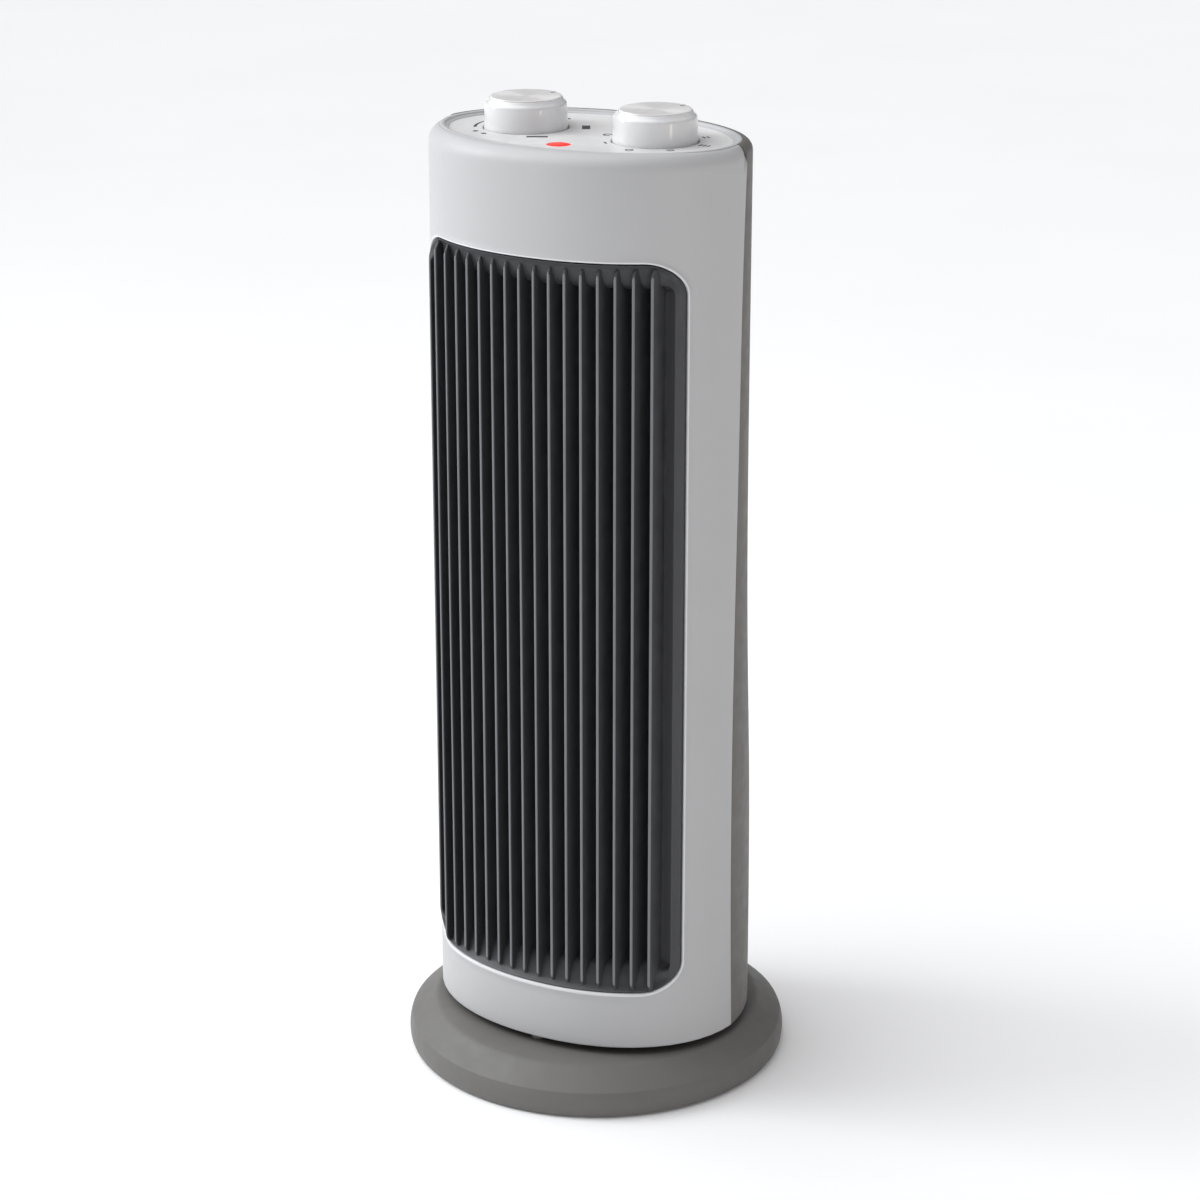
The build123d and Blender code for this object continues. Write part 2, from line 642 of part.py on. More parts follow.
def make_control_panel():
    half_x, half_y = PANEL_HALF
    low, high = PANEL_Z
    panel = Pos(0, PANEL_CENTRE_Y, low) * extrude(Ellipse(half_x, half_y), high - low)
    for side in (-1, 1):
        x = side * KNOB_X
        panel += post(CUP_R + CUP_WALL, CUP_FLOOR_Z[0], high, x, KNOB_Y)
    for side in (-1, 1):
        x = side * KNOB_X
        panel -= post(CUP_R, CUP_FLOOR_Z[1], high + 1, x, KNOB_Y)
        panel -= post(SPINDLE_R + 0.6, CUP_FLOOR_Z[0] - 1, high, x, KNOB_Y)
        for away in (-1, 1):
            panel -= post(PILOT_R, CUP_FLOOR_Z[0] - 1, high, x + away * CONTROL_SCREW_X, KNOB_Y)
    return panel - post(LENS_R + 0.05, low - 1, high + 1, *LENS_AT)


def control_body(side, half):
    """Body of a rotary control, hung under the panel's cup, with a blind bore for its spindle."""
    x = side * KNOB_X
    low, high = CONTROL_BODY_Z
    body = block((x - half, x + half), (KNOB_Y - half, KNOB_Y + half), (low, high))
    body = fillet(body.edges().filter_by(Axis.Z), 3)
    body -= post(SPINDLE_R + 0.05, SPINDLE_Z[0] - 0.1, high + 1, x, KNOB_Y)
    for away in (-1, 1):
        body -= post(PILOT_R, high - 11, high + 1, x + away * CONTROL_SCREW_X, KNOB_Y)
    return body


def make_mode_switch():
    switch = control_body(1, 16)
    for i in range(4):
        x = KNOB_X - 12 + 8 * i
        switch += block((x - 2.4, x + 2.4), (KNOB_Y - 12, KNOB_Y - 11.2), (CONTROL_BODY_Z[0] - 9, CONTROL_BODY_Z[0]))
    return switch


def make_thermostat():
    return control_body(-1, 15) + block(
        (-KNOB_X - 15, -KNOB_X + 15), (KNOB_Y - 6, KNOB_Y - 4.5), (CONTROL_BODY_Z[0] - 12, CONTROL_BODY_Z[0])
    )


def make_control_screws():
    upright = screw(11.5, shank=1.5, head=2.8, head_high=1.8)
    places = [side * KNOB_X + away * CONTROL_SCREW_X for side in (-1, 1) for away in (-1, 1)]
    return [Pos(x, KNOB_Y, CUP_FLOOR_Z[1]) * upright for x in places]


def knob(side):
    """Round cap of a control: straight skirt, sloped shoulder, seat for its top disc."""
    x = side * KNOB_X
    outline = Polyline(
        (0, KNOB_BOTTOM), (KNOB_R, KNOB_BOTTOM), (KNOB_TOP_R, KNOB_SIDE_TOP),
        (KNOB_DISC_R, KNOB_TOP), (0, KNOB_TOP), close=True,
    )
    body = revolve(Plane.XZ * make_face(outline), Axis.Z)
    hollow = post(KNOB_R - 2.4, KNOB_BOTTOM - 1, KNOB_SIDE_TOP - 1)
    body -= hollow - post(5.5, KNOB_BOTTOM - 1, KNOB_SIDE_TOP)
    body -= post(SPINDLE_R + 0.05, KNOB_BOTTOM - 1, SPINDLE_Z[1] + 0.1)
    body -= post(CAP_R + 0.1, CAP_Z[0], KNOB_TOP + 1)
    return Pos(x, KNOB_Y, 0) * body


def knob_disc(side):
    disc = post(CAP_R, *CAP_Z, side * KNOB_X, KNOB_Y)
    return fillet(disc.edges().group_by(Axis.Z)[-1], 0.5)


def make_indicator_lens():
    x, y = LENS_AT
    lens = post(LENS_R, PANEL_Z[0] - 1.7, LENS_TOP, x, y)
    lens = fillet(lens.edges().group_by(Axis.Z)[-1], 0.5)
    return lens + post(LENS_R + 1.5, PANEL_Z[0] - 1.7, PANEL_Z[0] - 0.1, x, y)


def make_indicator_lamp():
    x, y = LENS_AT
    return post(3, PANEL_Z[0] - 14, PANEL_Z[0] - 1.8, x, y) + post(4.2, PANEL_Z[0] - 20, PANEL_Z[0] - 14, x, y)


def base_profile(inset, bottom):
    """Half section of the base cover: bulged rim, sloped shoulder, flat disc."""
    rim = ThreePointArc(
        (BASE_FOOT_R - inset, bottom),
        (BASE_WIDEST_R - inset, (BASE_EDGE_Z + BASE_RIM_Z) / 2),
        (BASE_RIM_R - inset, BASE_RIM_Z - 0.3 * inset),
    )
    top = Polyline(
        (BASE_RIM_R - inset, BASE_RIM_Z - 0.3 * inset),
        (BASE_DISC_R - 0.3 * inset, BASE_DISC_Z - inset),
        (0, BASE_DISC_Z - inset), (0, bottom), (BASE_FOOT_R - inset, bottom),
    )
    return make_face(rim + top)


def make_base_cover():
    cover = revolve(Plane.XZ * base_profile(0, BASE_EDGE_Z), Axis.Z)
    ridge = [e for e in cover.edges().filter_by(GeomType.CIRCLE) if BASE_RIM_Z - 1 < e.center().Z < BASE_RIM_Z + 1]
    cover = fillet(ridge, 2.0)
    cover -= revolve(Plane.XZ * base_profile(BASE_WALL, BASE_EDGE_Z - 1), Axis.Z)
    cover += post(SPIGOT_R, BASE_DISC_Z - BASE_WALL, SPIGOT_TOP)
    for x, y in on_circle(BASE_SCREW_R, 4, 45):
        cover += post(4, BASE_PLATE_Z[1] + 0.1, BASE_DISC_Z - 1, x, y)
    for side in (-1, 1):
        cover += post(4, DRIVE_CAN_Z[0] + 8.1, BASE_DISC_Z - 1, side * DRIVE_EAR_X, CRANK_Y)
    cover -= post(SPIGOT_BORE_R, 0, SPIGOT_TOP + 1)
    cover -= post(5, BASE_DISC_Z - BASE_WALL - 1, BASE_DISC_Z + 1, 0, CRANK_Y)
    for x, y in on_circle(BASE_SCREW_R, 4, 45):
        cover -= post(PILOT_R, BASE_PLATE_Z[1], BASE_DISC_Z - 6, x, y)
    for side in (-1, 1):
        cover -= post(PILOT_R, DRIVE_CAN_Z[0] + 8, BASE_DISC_Z - 2.5, side * DRIVE_EAR_X, CRANK_Y)
    for x, y in on_circle(RETAINER_SCREW_R, 3, 30):
        cover -= post(1.25, SPIGOT_TOP - 10, SPIGOT_TOP + 1, x, y)
    return cover - rod_y(INLET_OUTER_R + 0.05, INLET_Y[0] - 2, BASE_WIDEST_R + 3, 0, INLET_Z)


def make_base_plate():
    plate = post(BASE_PLATE_R, *BASE_PLATE_Z)
    for x, y in on_circle(FEET_R, FOOT_COUNT, 90 + 180 / FOOT_COUNT):
        plate -= post(FOOT_SIZE - 2.45, BASE_PLATE_Z[0] - 1, BASE_PLATE_Z[1] + 1, x, y)
    for x, y in on_circle(BASE_SCREW_R, 4, 45):
        plate -= post(PILOT_R + 0.15, BASE_PLATE_Z[0] - 1, BASE_PLATE_Z[1] + 1, x, y)
        plate -= post(SCREW_HEAD_R + 0.2, BASE_PLATE_Z[0] - 1, BASE_PLATE_Z[0] + 1.6, x, y)
    for radius in (45.0, 75.0):
        plate -= ring(radius + 1, radius - 1, BASE_PLATE_Z[0] - 1, BASE_PLATE_Z[0] + 0.8)
    return plate


def make_base_screws():
    inverted = Rot(180, 0, 0) * screw(14, head_high=1.5)
    seat = BASE_PLATE_Z[0] + 1.6
    return [Pos(x, y, seat) * inverted for x, y in on_circle(BASE_SCREW_R, 4, 45)]


def make_rubber_feet():
    foot = post(FOOT_SIZE, 0, BASE_PLATE_Z[0]) + post(FOOT_SIZE - 2.5, BASE_PLATE_Z[0], BASE_PLATE_Z[1])
    foot = fillet(foot.edges().group_by(Axis.Z)[0], 0.6)
    return [Pos(x, y, 0) * foot for x, y in on_circle(FEET_R, FOOT_COUNT, 90 + 180 / FOOT_COUNT)]


def make_cord_inlet():
    bush = rod_y(INLET_OUTER_R, *INLET_Y, 0, INLET_Z)
    return bush - rod_y(INLET_BORE_R, INLET_Y[0] - 1, INLET_Y[1] + 1, 0, INLET_Z)


def make_thrust_washer():
    return ring(WASHER_R, SPIGOT_R + 0.2, BASE_DISC_Z, PLATE_Z[0] - RUNNING_GAP)


def make_glide_pads():
    turns = [math.radians(a) for a in PAD_ANGLES]
    pad = post(PAD_SIZE, BASE_DISC_Z, PLATE_Z[0] - RUNNING_GAP)
    return [Pos(PAD_CIRCLE_R * math.cos(t), PAD_CIRCLE_R * math.sin(t), 0) * pad for t in turns]


def make_swivel_retainer():
    plate = ring(RETAINER_R, SPIGOT_BORE_R, SPIGOT_TOP, SPIGOT_TOP + RETAINER_THICK)
    for x, y in on_circle(RETAINER_SCREW_R, 3, 30):
        plate -= post(1.4, SPIGOT_TOP - 1, SPIGOT_TOP + 5, x, y)
    return plate


def make_retainer_screws():
    upright = screw(12, shank=1.2, head=2.3, head_high=1.6)
    seat = SPIGOT_TOP + RETAINER_THICK
    return [Pos(x, y, seat) * upright for x, y in on_circle(RETAINER_SCREW_R, 3, 30)]


def make_osc_motor():
    can = post(DRIVE_CAN_R, *DRIVE_CAN_Z, 0, CRANK_Y)
    can = fillet(can.edges().group_by(Axis.Z)[-1], 1.5)
    ear_z = (DRIVE_CAN_Z[0] + 6, DRIVE_CAN_Z[0] + 8)
    can += block((-DRIVE_EAR_X - 4, DRIVE_EAR_X + 4), (CRANK_Y - 4, CRANK_Y + 4), ear_z)
    for side in (-1, 1):
        can -= post(PILOT_R + 0.15, *[ear_z[0] - 1, ear_z[1] + 1], side * DRIVE_EAR_X, CRANK_Y)
    return can - post(CRANK_SHAFT_R + 0.05, DRIVE_CAN_Z[1] - 8, DRIVE_CAN_Z[1] + 1, 0, CRANK_Y)


def make_osc_motor_screws():
    inverted = Rot(180, 0, 0) * screw(11, head=2.8, head_high=1.6)
    return [Pos(side * DRIVE_EAR_X, CRANK_Y, DRIVE_CAN_Z[0] + 6) * inverted for side in (-1, 1)]


def make_osc_crank():
    low, high = CRANK_Z
    arm = SlotCenterToCenter(CRANK_THROW, CRANK_ARM_WIDTH, rotation=90)
    crank = Pos(0, CRANK_Y + CRANK_THROW / 2, low) * extrude(arm, high - low)
    crank += post(CRANK_SHAFT_R, DRIVE_CAN_Z[1] - 7.5, low, 0, CRANK_Y)
    return crank + post(CRANK_PIN_R - 0.6, high, PLATE_Z[1] + 0.5, 0, CRANK_Y + CRANK_THROW)


def make_crank_roller():
    return ring(CRANK_PIN_R, CRANK_PIN_R - 0.5, CRANK_Z[1] + 0.3, PLATE_Z[1], 0, CRANK_Y + CRANK_THROW)


def make_tilt_bracket():
    x, y = TILT_AT
    floor_z = PLATE_Z[1]
    top = TILT_PIVOT_Z + 14
    cheeks = block((x - TILT_CHEEK_X, x + TILT_CHEEK_X), (y - 10, y + 10), (floor_z, floor_z + 1.5))
    for side in (-1, 1):
        span = sorted((y + side * TILT_CHEEK_Y[0], y + side * TILT_CHEEK_Y[1]))
        cheeks += block((x - TILT_CHEEK_X, x + TILT_CHEEK_X), span, (floor_z, top))
    return cheeks - rod_y(TILT_PIN_R + 0.05, y - 12, y + 12, x, TILT_PIVOT_Z)


def make_tilt_pin():
    x, y = TILT_AT
    return rod_y(TILT_PIN_R, y - 11.5, y + 11.5, x, TILT_PIVOT_Z)


def make_tilt_microswitch():
    x, y = TILT_AT
    case = block((x - 10, x + 10), (y - 8.4, y + 8.4), (TILT_PIVOT_Z + 6.5, TILT_PIVOT_Z + 14))
    for i in (-1, 0, 1):
        tab_x = x + 6 * i
        case += block((tab_x - 1.5, tab_x + 1.5), (y - 0.4, y + 0.4), (TILT_PIVOT_Z + 14, TILT_PIVOT_Z + 19))
    return case


def make_tilt_pendulum():
    x, y = TILT_AT
    weight_z = TILT_PIVOT_Z - TILT_ARM
    arm = rod_y(4, y - 4, y + 4, x, TILT_PIVOT_Z)
    arm += block((x - 2, x + 2), (y - 3, y + 3), (weight_z, TILT_PIVOT_Z))
    arm += rod_y(TILT_WEIGHT_R, y - 7, y + 7, x, weight_z)
    arm += block((x - 2, x + 2), (y - 3, y + 3), (TILT_PIVOT_Z, TILT_PIVOT_Z + 5))
    return arm - rod_y(TILT_PIN_R + 0.06, y - 5, y + 5, x, TILT_PIVOT_Z)


def make_supply_leads():
    route = [(8, 0, 24), (8, 0, 58), (66, 0, 88), (66, 0, 520), (54, 0, 552.4)]
    path = FilletPolyline(*route, radius=12)
    section = Plane(origin=path @ 0, z_dir=path % 0) * Circle(1.3)
    lead = sweep(section, path)
    return [Pos(0, y, 0) * lead for y in (-3.0, 0.5, 4.0)]


NODES = {
    "base_cover": make_base_cover,
    "base_plate": make_base_plate,
    "base_screws": make_base_screws,
    "rubber_feet": make_rubber_feet,
    "cord_inlet": make_cord_inlet,
    "thrust_washer": make_thrust_washer,
    "glide_pads": make_glide_pads,
    "swivel_retainer": make_swivel_retainer,
    "retainer_screws": make_retainer_screws,
    "osc_motor": make_osc_motor,
    "osc_motor_screws": make_osc_motor_screws,
    "osc_crank": make_osc_crank,
    "crank_roller": make_crank_roller,
    "bottom_plate": make_bottom_plate,
    "bottom_screws": make_bottom_screws,
    "front_shell": make_front_shell,
    "rear_shell": make_rear_shell,
    "shell_screws": make_shell_screws,
    "outlet_grille": make_outlet_grille,
    "duct_baffle": make_duct_baffle,
    "baffle_screws": make_baffle_screws,
    "heater_frame": make_heater_frame,
    "heater_fins": make_heater_fins,
    "ptc_bars": make_ptc_bars,
    "heater_terminals": make_heater_terminals,
    "thermal_cutout": make_thermal_cutout,
    "thermal_fuse": make_thermal_fuse,
    "scroll_housing": make_scroll_housing,
    "fan_impeller": make_fan_impeller,
    "fan_shaft": make_fan_shaft,
    "fan_stub_shaft": make_fan_stub,
    "top_bush": make_top_bush,
    "top_bush_rubber": make_top_bush_rubber,
    "motor_rotor": make_motor_rotor,
    "motor_stator": make_motor_stator,
    "motor_coil": make_motor_coil,
    "motor_bracket_upper": make_motor_bracket_upper,
    "motor_bracket_lower": make_motor_bracket_lower,
    "motor_bearings": make_motor_bearings,
    "motor_screws": make_motor_screws,
    "control_panel": make_control_panel,
    "mode_switch": make_mode_switch,
    "thermostat": make_thermostat,
    "control_screws": make_control_screws,
    "indicator_lens": make_indicator_lens,
    "indicator_lamp": make_indicator_lamp,
    "mode_knob": lambda: knob(1),
    "mode_knob_disc": lambda: knob_disc(1),
    "mode_spindle": lambda: post(SPINDLE_R, *SPINDLE_Z, KNOB_X, KNOB_Y),
    "thermostat_knob": lambda: knob(-1),
    "thermostat_knob_disc": lambda: knob_disc(-1),
    "thermostat_spindle": lambda: post(SPINDLE_R, *SPINDLE_Z, -KNOB_X, KNOB_Y),
    "tilt_bracket": make_tilt_bracket,
    "tilt_pin": make_tilt_pin,
    "tilt_microswitch": make_tilt_microswitch,
    "tilt_pendulum": make_tilt_pendulum,
    "supply_leads": make_supply_leads,
}


def main():
    os.makedirs("parts", exist_ok=True)
    for name, make in NODES.items():
        made = make()
        solid = Compound(children=made) if isinstance(made, list) else made
        export_step(solid, f"parts/{name}.step")


main()
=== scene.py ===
import json
from math import acos, asin, atan2, copysign, cos, degrees, exp, hypot, pi, radians, sin, sqrt

import bmesh
import bpy
import numpy as np
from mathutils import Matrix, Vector


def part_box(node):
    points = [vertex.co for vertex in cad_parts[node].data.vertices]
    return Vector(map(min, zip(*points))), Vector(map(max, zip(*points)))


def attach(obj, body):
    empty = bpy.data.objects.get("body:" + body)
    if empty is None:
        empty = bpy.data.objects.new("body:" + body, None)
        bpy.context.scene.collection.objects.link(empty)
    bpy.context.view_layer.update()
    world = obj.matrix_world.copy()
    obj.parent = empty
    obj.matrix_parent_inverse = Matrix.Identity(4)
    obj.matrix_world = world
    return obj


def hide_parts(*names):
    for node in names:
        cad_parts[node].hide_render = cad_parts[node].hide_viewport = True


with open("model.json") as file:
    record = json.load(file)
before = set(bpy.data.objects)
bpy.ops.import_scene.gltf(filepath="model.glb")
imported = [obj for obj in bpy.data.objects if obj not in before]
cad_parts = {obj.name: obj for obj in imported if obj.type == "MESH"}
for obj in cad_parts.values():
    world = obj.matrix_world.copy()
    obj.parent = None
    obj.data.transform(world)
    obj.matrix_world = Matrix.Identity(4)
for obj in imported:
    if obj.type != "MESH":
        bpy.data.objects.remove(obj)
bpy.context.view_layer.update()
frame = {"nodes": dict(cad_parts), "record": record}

# Fan convector heater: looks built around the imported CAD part.
# Shapes are worked out in millimetres and written to the meshes in metres, in the CAD's own frame:
# +Z up, front towards -Y, origin on the floor under the swivel axis.

MM = 0.001


def box_mm(cad_node):
    """Lowest and highest corner of a CAD node, in millimetres."""
    low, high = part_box(cad_node)
    return [v / MM for v in low], [v / MM for v in high]


# Casing, front half: half a slightly squared ellipse in plan, straight up, with a rounded top edge
front_low, front_high = box_mm("front_shell")
BODY_BOTTOM = front_low[2]
BODY_TOP = front_high[2]
HALF_WIDTH = front_high[0]
FRONT_CENTRE_Y = -1.5
FRONT_DEPTH = FRONT_CENTRE_Y - front_low[1] - 0.05
FRONT_FULLNESS = 2.1  # exponent of the outline: 2 is an ellipse, more is squarer
FRONT_TOP_ROUND = 9.5
WALL = 2.4

# Casing, back half: an ellipse whose depth swells near the base
REAR_HALF_WIDTH = box_mm("rear_shell")[1][0]
REAR_CENTRE_Y = -8.0
REAR_SLIM_Y = 61.0
REAR_BULGE = 27.0
REAR_BULGE_MID_Z = 245.0
REAR_BULGE_RUN = 45.0
REAR_TOP_ROUND = 6.5
SEAM_Z = (20, 100, 190, 400, 530, 600)
SEAM_Y = (-7.4, -9.9, -10.9, -8.4, -5.9, -2.4)
SEAM_GAP = 0.25

# Outlet window and grille
grille_low, grille_high = box_mm("outlet_grille")
WINDOW_HALF = grille_high[0]
WINDOW_LOW = grille_low[2]
WINDOW_HIGH = grille_high[2]
WINDOW_CORNER = 19.0
WINDOW_GAP = 0.4
GRILLE_GAP = 0.3
GRILLE_PROUD = (1.7, 0.6)  # how far its frame stands out of the casing, beside and above the fins
LEDGE_Y = -48.6
GRILLE_ARC_R = 156.5
GRILLE_ARC_Y = 75.8
FIN_COUNT = 16
FIN_PITCH = 9.66
FIN_THICK = 1.9
FIN_DEPTH = 22.0
# How far behind its front a fin's nose is coloured paler, as a painted highlight
NOSE_HIGHLIGHT_DEPTH = 0.4
# How far a fin's nose falls back, over what height, and where it stops, at its foot and at its top
FIN_FOOT = (3.4, 6.5, 0.15)
FIN_HEAD = (4.8, 7.0, 1.7)

# Air intake in the back, and the wells of the screws that join the two halves
INTAKE_LOW = 190.0
INTAKE_HIGH = 445.0
INTAKE_ROWS = 34
INTAKE_COLUMNS = (-44.0, 0.0, 44.0)
INTAKE_CELL = 44.0
INTAKE_SLOT = (40.0, 3.4)
SCREW_X = 80.0
SCREW_LEVELS = (54.0, 548.0)
SCREW_WELL_R = 3.8
SCREW_WELL_WALL = 1.6
SCREW_WELL_FLOOR_Y = 8.0
SCREW_WELL_SUNK = 1.4  # of the tubes' mouths, under the outer skin

# Control panel, knobs and lens
panel_low, panel_high = box_mm("control_panel")
PANEL_HALF = (panel_high[0], (panel_high[1] - panel_low[1]) / 2)
PANEL_Y = (panel_high[1] + panel_low[1]) / 2
PANEL_GAP = 0.2
PANEL_FACE = panel_high[2] - 0.5
KNOB_X = 43.4
KNOB_Y = -7.0
KNOB_WELL_R = 25.6
KNOB_WELL_FLOOR = 578.0
lens_low, lens_high = box_mm("indicator_lens")
LENS_AT = ((lens_low[0] + lens_high[0]) / 2, (lens_low[1] + lens_high[1]) / 2)
LENS_R = 7.0

# Base
base_low, base_high = box_mm("base_cover")
BASE_FOOT_R = 118.0
BASE_WIDEST_R = base_high[0] - 0.06
BASE_RIM_R = 117.3
BASE_RIM_Z = 16.9
BASE_DISC_R = 101.7
BASE_DISC_Z = 27.5
BASE_WALL = 2.5
SPIGOT_R = (15.0, 20.0)
SPIGOT_TOP = 39.9
INLET_Z = 9.6
INLET_HOLE_R = 5.05


# ---------------- mesh helpers


def new_object(name, data):
    made = bpy.data.objects.new(name, data)
    bpy.context.scene.collection.objects.link(made)
    return made


def new_mesh(name, shape):
    """A mesh from (points in millimetres, faces), with doubled points merged and consistent normals."""
    points, faces = shape
    mesh = bpy.data.meshes.new(name)
    mesh.from_pydata([[c * MM for c in p] for p in points], [], faces)
    bm = bmesh.new()
    bm.from_mesh(mesh)
    bmesh.ops.remove_doubles(bm, verts=bm.verts, dist=1e-7)
    bmesh.ops.recalc_face_normals(bm, faces=bm.faces)
    bm.to_mesh(mesh)
    bm.free()
    return mesh


def place_piece(mesh, body, slot, stands_for=(), material=None):
    """Puts a mesh in the scene, riding on a body, in its slot's finish unless a material is given."""
    piece = new_object(mesh.name, mesh)
    mesh.materials.append(material or FINISHES[slot])
    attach(piece, body)
    if stands_for:
        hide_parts(*stands_for)
    return piece


def add_piece(name, shape, body, slot, stands_for=(), crease=38, material=None):
    """A new piece, smooth except where its faces meet at more than crease degrees."""
    mesh = new_mesh(name, shape)
    smooth(mesh, crease)
    return place_piece(mesh, body, slot, stands_for, material)


def smooth(mesh, crease):
    """Smooth shading, sharp where faces meet at more than crease degrees."""
    mesh.polygons.foreach_set("use_smooth", [True] * len(mesh.polygons))
    mesh.set_sharp_from_angle(angle=radians(crease))
    mesh.update()


def thicken(piece, thickness):
    """Gives an open sheet its wall, on the inside."""
    wall = piece.modifiers.new("wall", "SOLIDIFY")
    wall.thickness = thickness * MM
    wall.offset = -1.0


def soften(piece, width):
    """Small round on every real edge."""
    round_off = piece.modifiers.new("edges", "BEVEL")
    round_off.width = width * MM
    round_off.segments = 2
    round_off.limit_method = "ANGLE"
    round_off.angle_limit = radians(40)
    round_off.harden_normals = True


def loft(rings, closed=False, capped=False):
    """Quads between neighbouring rings of points; each ring is a closed loop."""
    count = len(rings[0])
    points = [p for ring in rings for p in ring]
    faces = []
    for j in range(len(rings) if closed else len(rings) - 1):
        a, b = j * count, (j + 1) % len(rings) * count
        for i in range(count):
            k = (i + 1) % count
            faces.append((a + i, a + k, b + k, b + i))
    if capped:
        faces.append(tuple(range(count)))
        faces.append(tuple(range(len(points) - count, len(points))))
    return points, faces


def join(parts):
    """One list of points and faces out of several."""
    points, faces = [], []
    for more_points, more_faces in parts:
        shift = len(points)
        points.extend(more_points)
        faces.extend(tuple(i + shift for i in face) for face in more_faces)
    return points, faces


def around(count):
    """Evenly spaced (cosine, sine) pairs, once round."""
    turns = [2 * pi * i / count for i in range(count)]
    return [(cos(t), sin(t)) for t in turns]


def circle(radius, z, x=0.0, y=0.0, count=96):
    return [(x + radius * c, y + radius * s, z) for c, s in around(count)]


def turned(profile, x=0.0, y=0.0, count=96):
    """Solid of revolution about an upright axis, from (radius, height) points."""
    return loft([circle(r, z, x, y, count) for r, z in profile], closed=True)


def arc_points(centre, radius, start, end, steps):
    """(radius, height) points along an arc, angles in degrees."""
    turns = [radians(start + (end - start) * i / steps) for i in range(steps + 1)]
    return [(centre[0] + radius * cos(t), centre[1] + radius * sin(t)) for t in turns]


def blend(a, b, share):
    return a + (b - a) * share


def ease(value, low, high):
    """Smooth step from 0 at low to 1 at high."""
    t = min(1.0, max(0.0, (value - low) / (high - low)))
    return t * t * (3 - 2 * t)


# ---------------- materials


def feed(tree, node, inputs):
    """Sets a node's inputs, each to a value or to the socket that feeds it."""
    for key, value in inputs.items():
        if isinstance(value, bpy.types.NodeSocket):
            tree.links.new(value, node.inputs[key])
        else:
            node.inputs[key].default_value = value


def add_node(tree, kind, inputs=None, **settings):
    made = tree.nodes.new(kind)
    for name, value in settings.items():
        setattr(made, name, value)
    feed(tree, made, inputs or {})
    return made


def calc(tree, operation, *values, kind="ShaderNodeMath"):
    return add_node(tree, kind, dict(enumerate(values)), operation=operation).outputs


def bands(tree, place, pitch_mm, wobble, axis):
    """Stripes pitch_mm apart, one after another along an axis."""
    inputs = {"Vector": place, "Scale": 1 / (pitch_mm * MM), "Distortion": wobble}
    return add_node(tree, "ShaderNodeTexWave", inputs, bands_direction=axis).outputs["Fac"]


def start_material(name):
    material = bpy.data.materials.new(name)
    material.use_nodes = True
    tree = material.node_tree
    place = add_node(tree, "ShaderNodeTexCoord").outputs["Object"]
    return material, tree, place


def noise(tree, place, size_mm, detail=2.0, rough=0.5):
    """Noise whose features are about size_mm across."""
    inputs = {"Vector": place, "Scale": 1 / (size_mm * MM), "Detail": detail, "Roughness": rough}
    return add_node(tree, "ShaderNodeTexNoise", inputs).outputs["Fac"]


def spread(tree, value, low, high, from_low=0.3, from_high=0.7):
    """Maps a factor onto low..high."""
    inputs = {"Value": value, "From Min": from_low, "From Max": from_high, "To Min": low, "To Max": high}
    return add_node(tree, "ShaderNodeMapRange", inputs).outputs["Result"]


def mix_colour(tree, factor, a, b):
    # inputs 6 and 7 and output 2 are the node's colour sockets
    return add_node(tree, "ShaderNodeMix", {0: factor, 6: a, 7: b}, data_type="RGBA").outputs[2]


def tint(colour, factor):
    return (*[min(1.0, c * factor) for c in colour], 1.0)


def edge_mask(tree):
    """1 on outer edges and 0 on flats, from how sharply the surface bends."""
    bend = add_node(tree, "ShaderNodeNewGeometry").outputs["Pointiness"]
    return spread(tree, bend, 0.0, 1.0, 0.52, 0.60)


def bump(tree, layers):
    """Stacked bumps from (height socket, depth in mm) pairs."""
    normal = None
    for height, depth in layers:
        inputs = {"Height": height, "Distance": depth * MM, "Strength": 1.0}
        if normal is not None:
            inputs["Normal"] = normal
        normal = add_node(tree, "ShaderNodeBump", inputs).outputs["Normal"]
    return normal


def finish(material, base, roughness, bumps, more=None):
    """Sets a material's colour, roughness and stacked bumps, and any of its shader's other inputs."""
    tree = material.node_tree
    inputs = {"Base Color": base, "Roughness": roughness, "Normal": bump(tree, bumps), **(more or {})}
    feed(tree, tree.nodes["Principled BSDF"], inputs)
    return material


def plastic(name, colour, roughness, grain, mottle, edge_wear_and_highlight, coat=0.0, dust=0.0):
    """Moulded plastic: fine grain, faint flow marks, uneven gloss, edges lightened as wear and as a
    painted highlight, a little dust.
    """
    material, tree, place = start_material(name)
    clouds = noise(tree, place, 45, 3)
    flow = noise(tree, place, 9, 2)
    fine = noise(tree, place, grain[0], 3, 0.6)
    dark, light = tint(colour, 1 - mottle), tint(colour, 1 + mottle)
    base = mix_colour(tree, spread(tree, clouds, 0, 1), dark, light)
    fleck = noise(tree, place, grain[0] * 0.7, 1)
    base = mix_colour(tree, spread(tree, fleck, 0, 0.5), base, tint(colour, 1 - 1.6 * mottle))
    # Outer edges made paler: partly wear, partly a painted highlight
    worn_and_highlit_edges = edge_mask(tree)
    patchy = calc(tree, "MULTIPLY", worn_and_highlit_edges, spread(tree, flow, 0.2, 1))[0]
    base = mix_colour(tree, patchy, base, tint(colour, edge_wear_and_highlight))
    if dust:
        specks = noise(tree, place, 1.1, 4, 0.7)
        base = mix_colour(tree, spread(tree, specks, 0, dust, 0.6, 0.78), base, (0.45, 0.43, 0.40, 1))
    gloss = spread(tree, flow, roughness * 0.88, roughness * 1.12)
    more = {"Coat Weight": coat, "Coat Roughness": 0.12}
    return finish(material, base, gloss, [(fine, grain[1]), (flow, grain[1])], more)


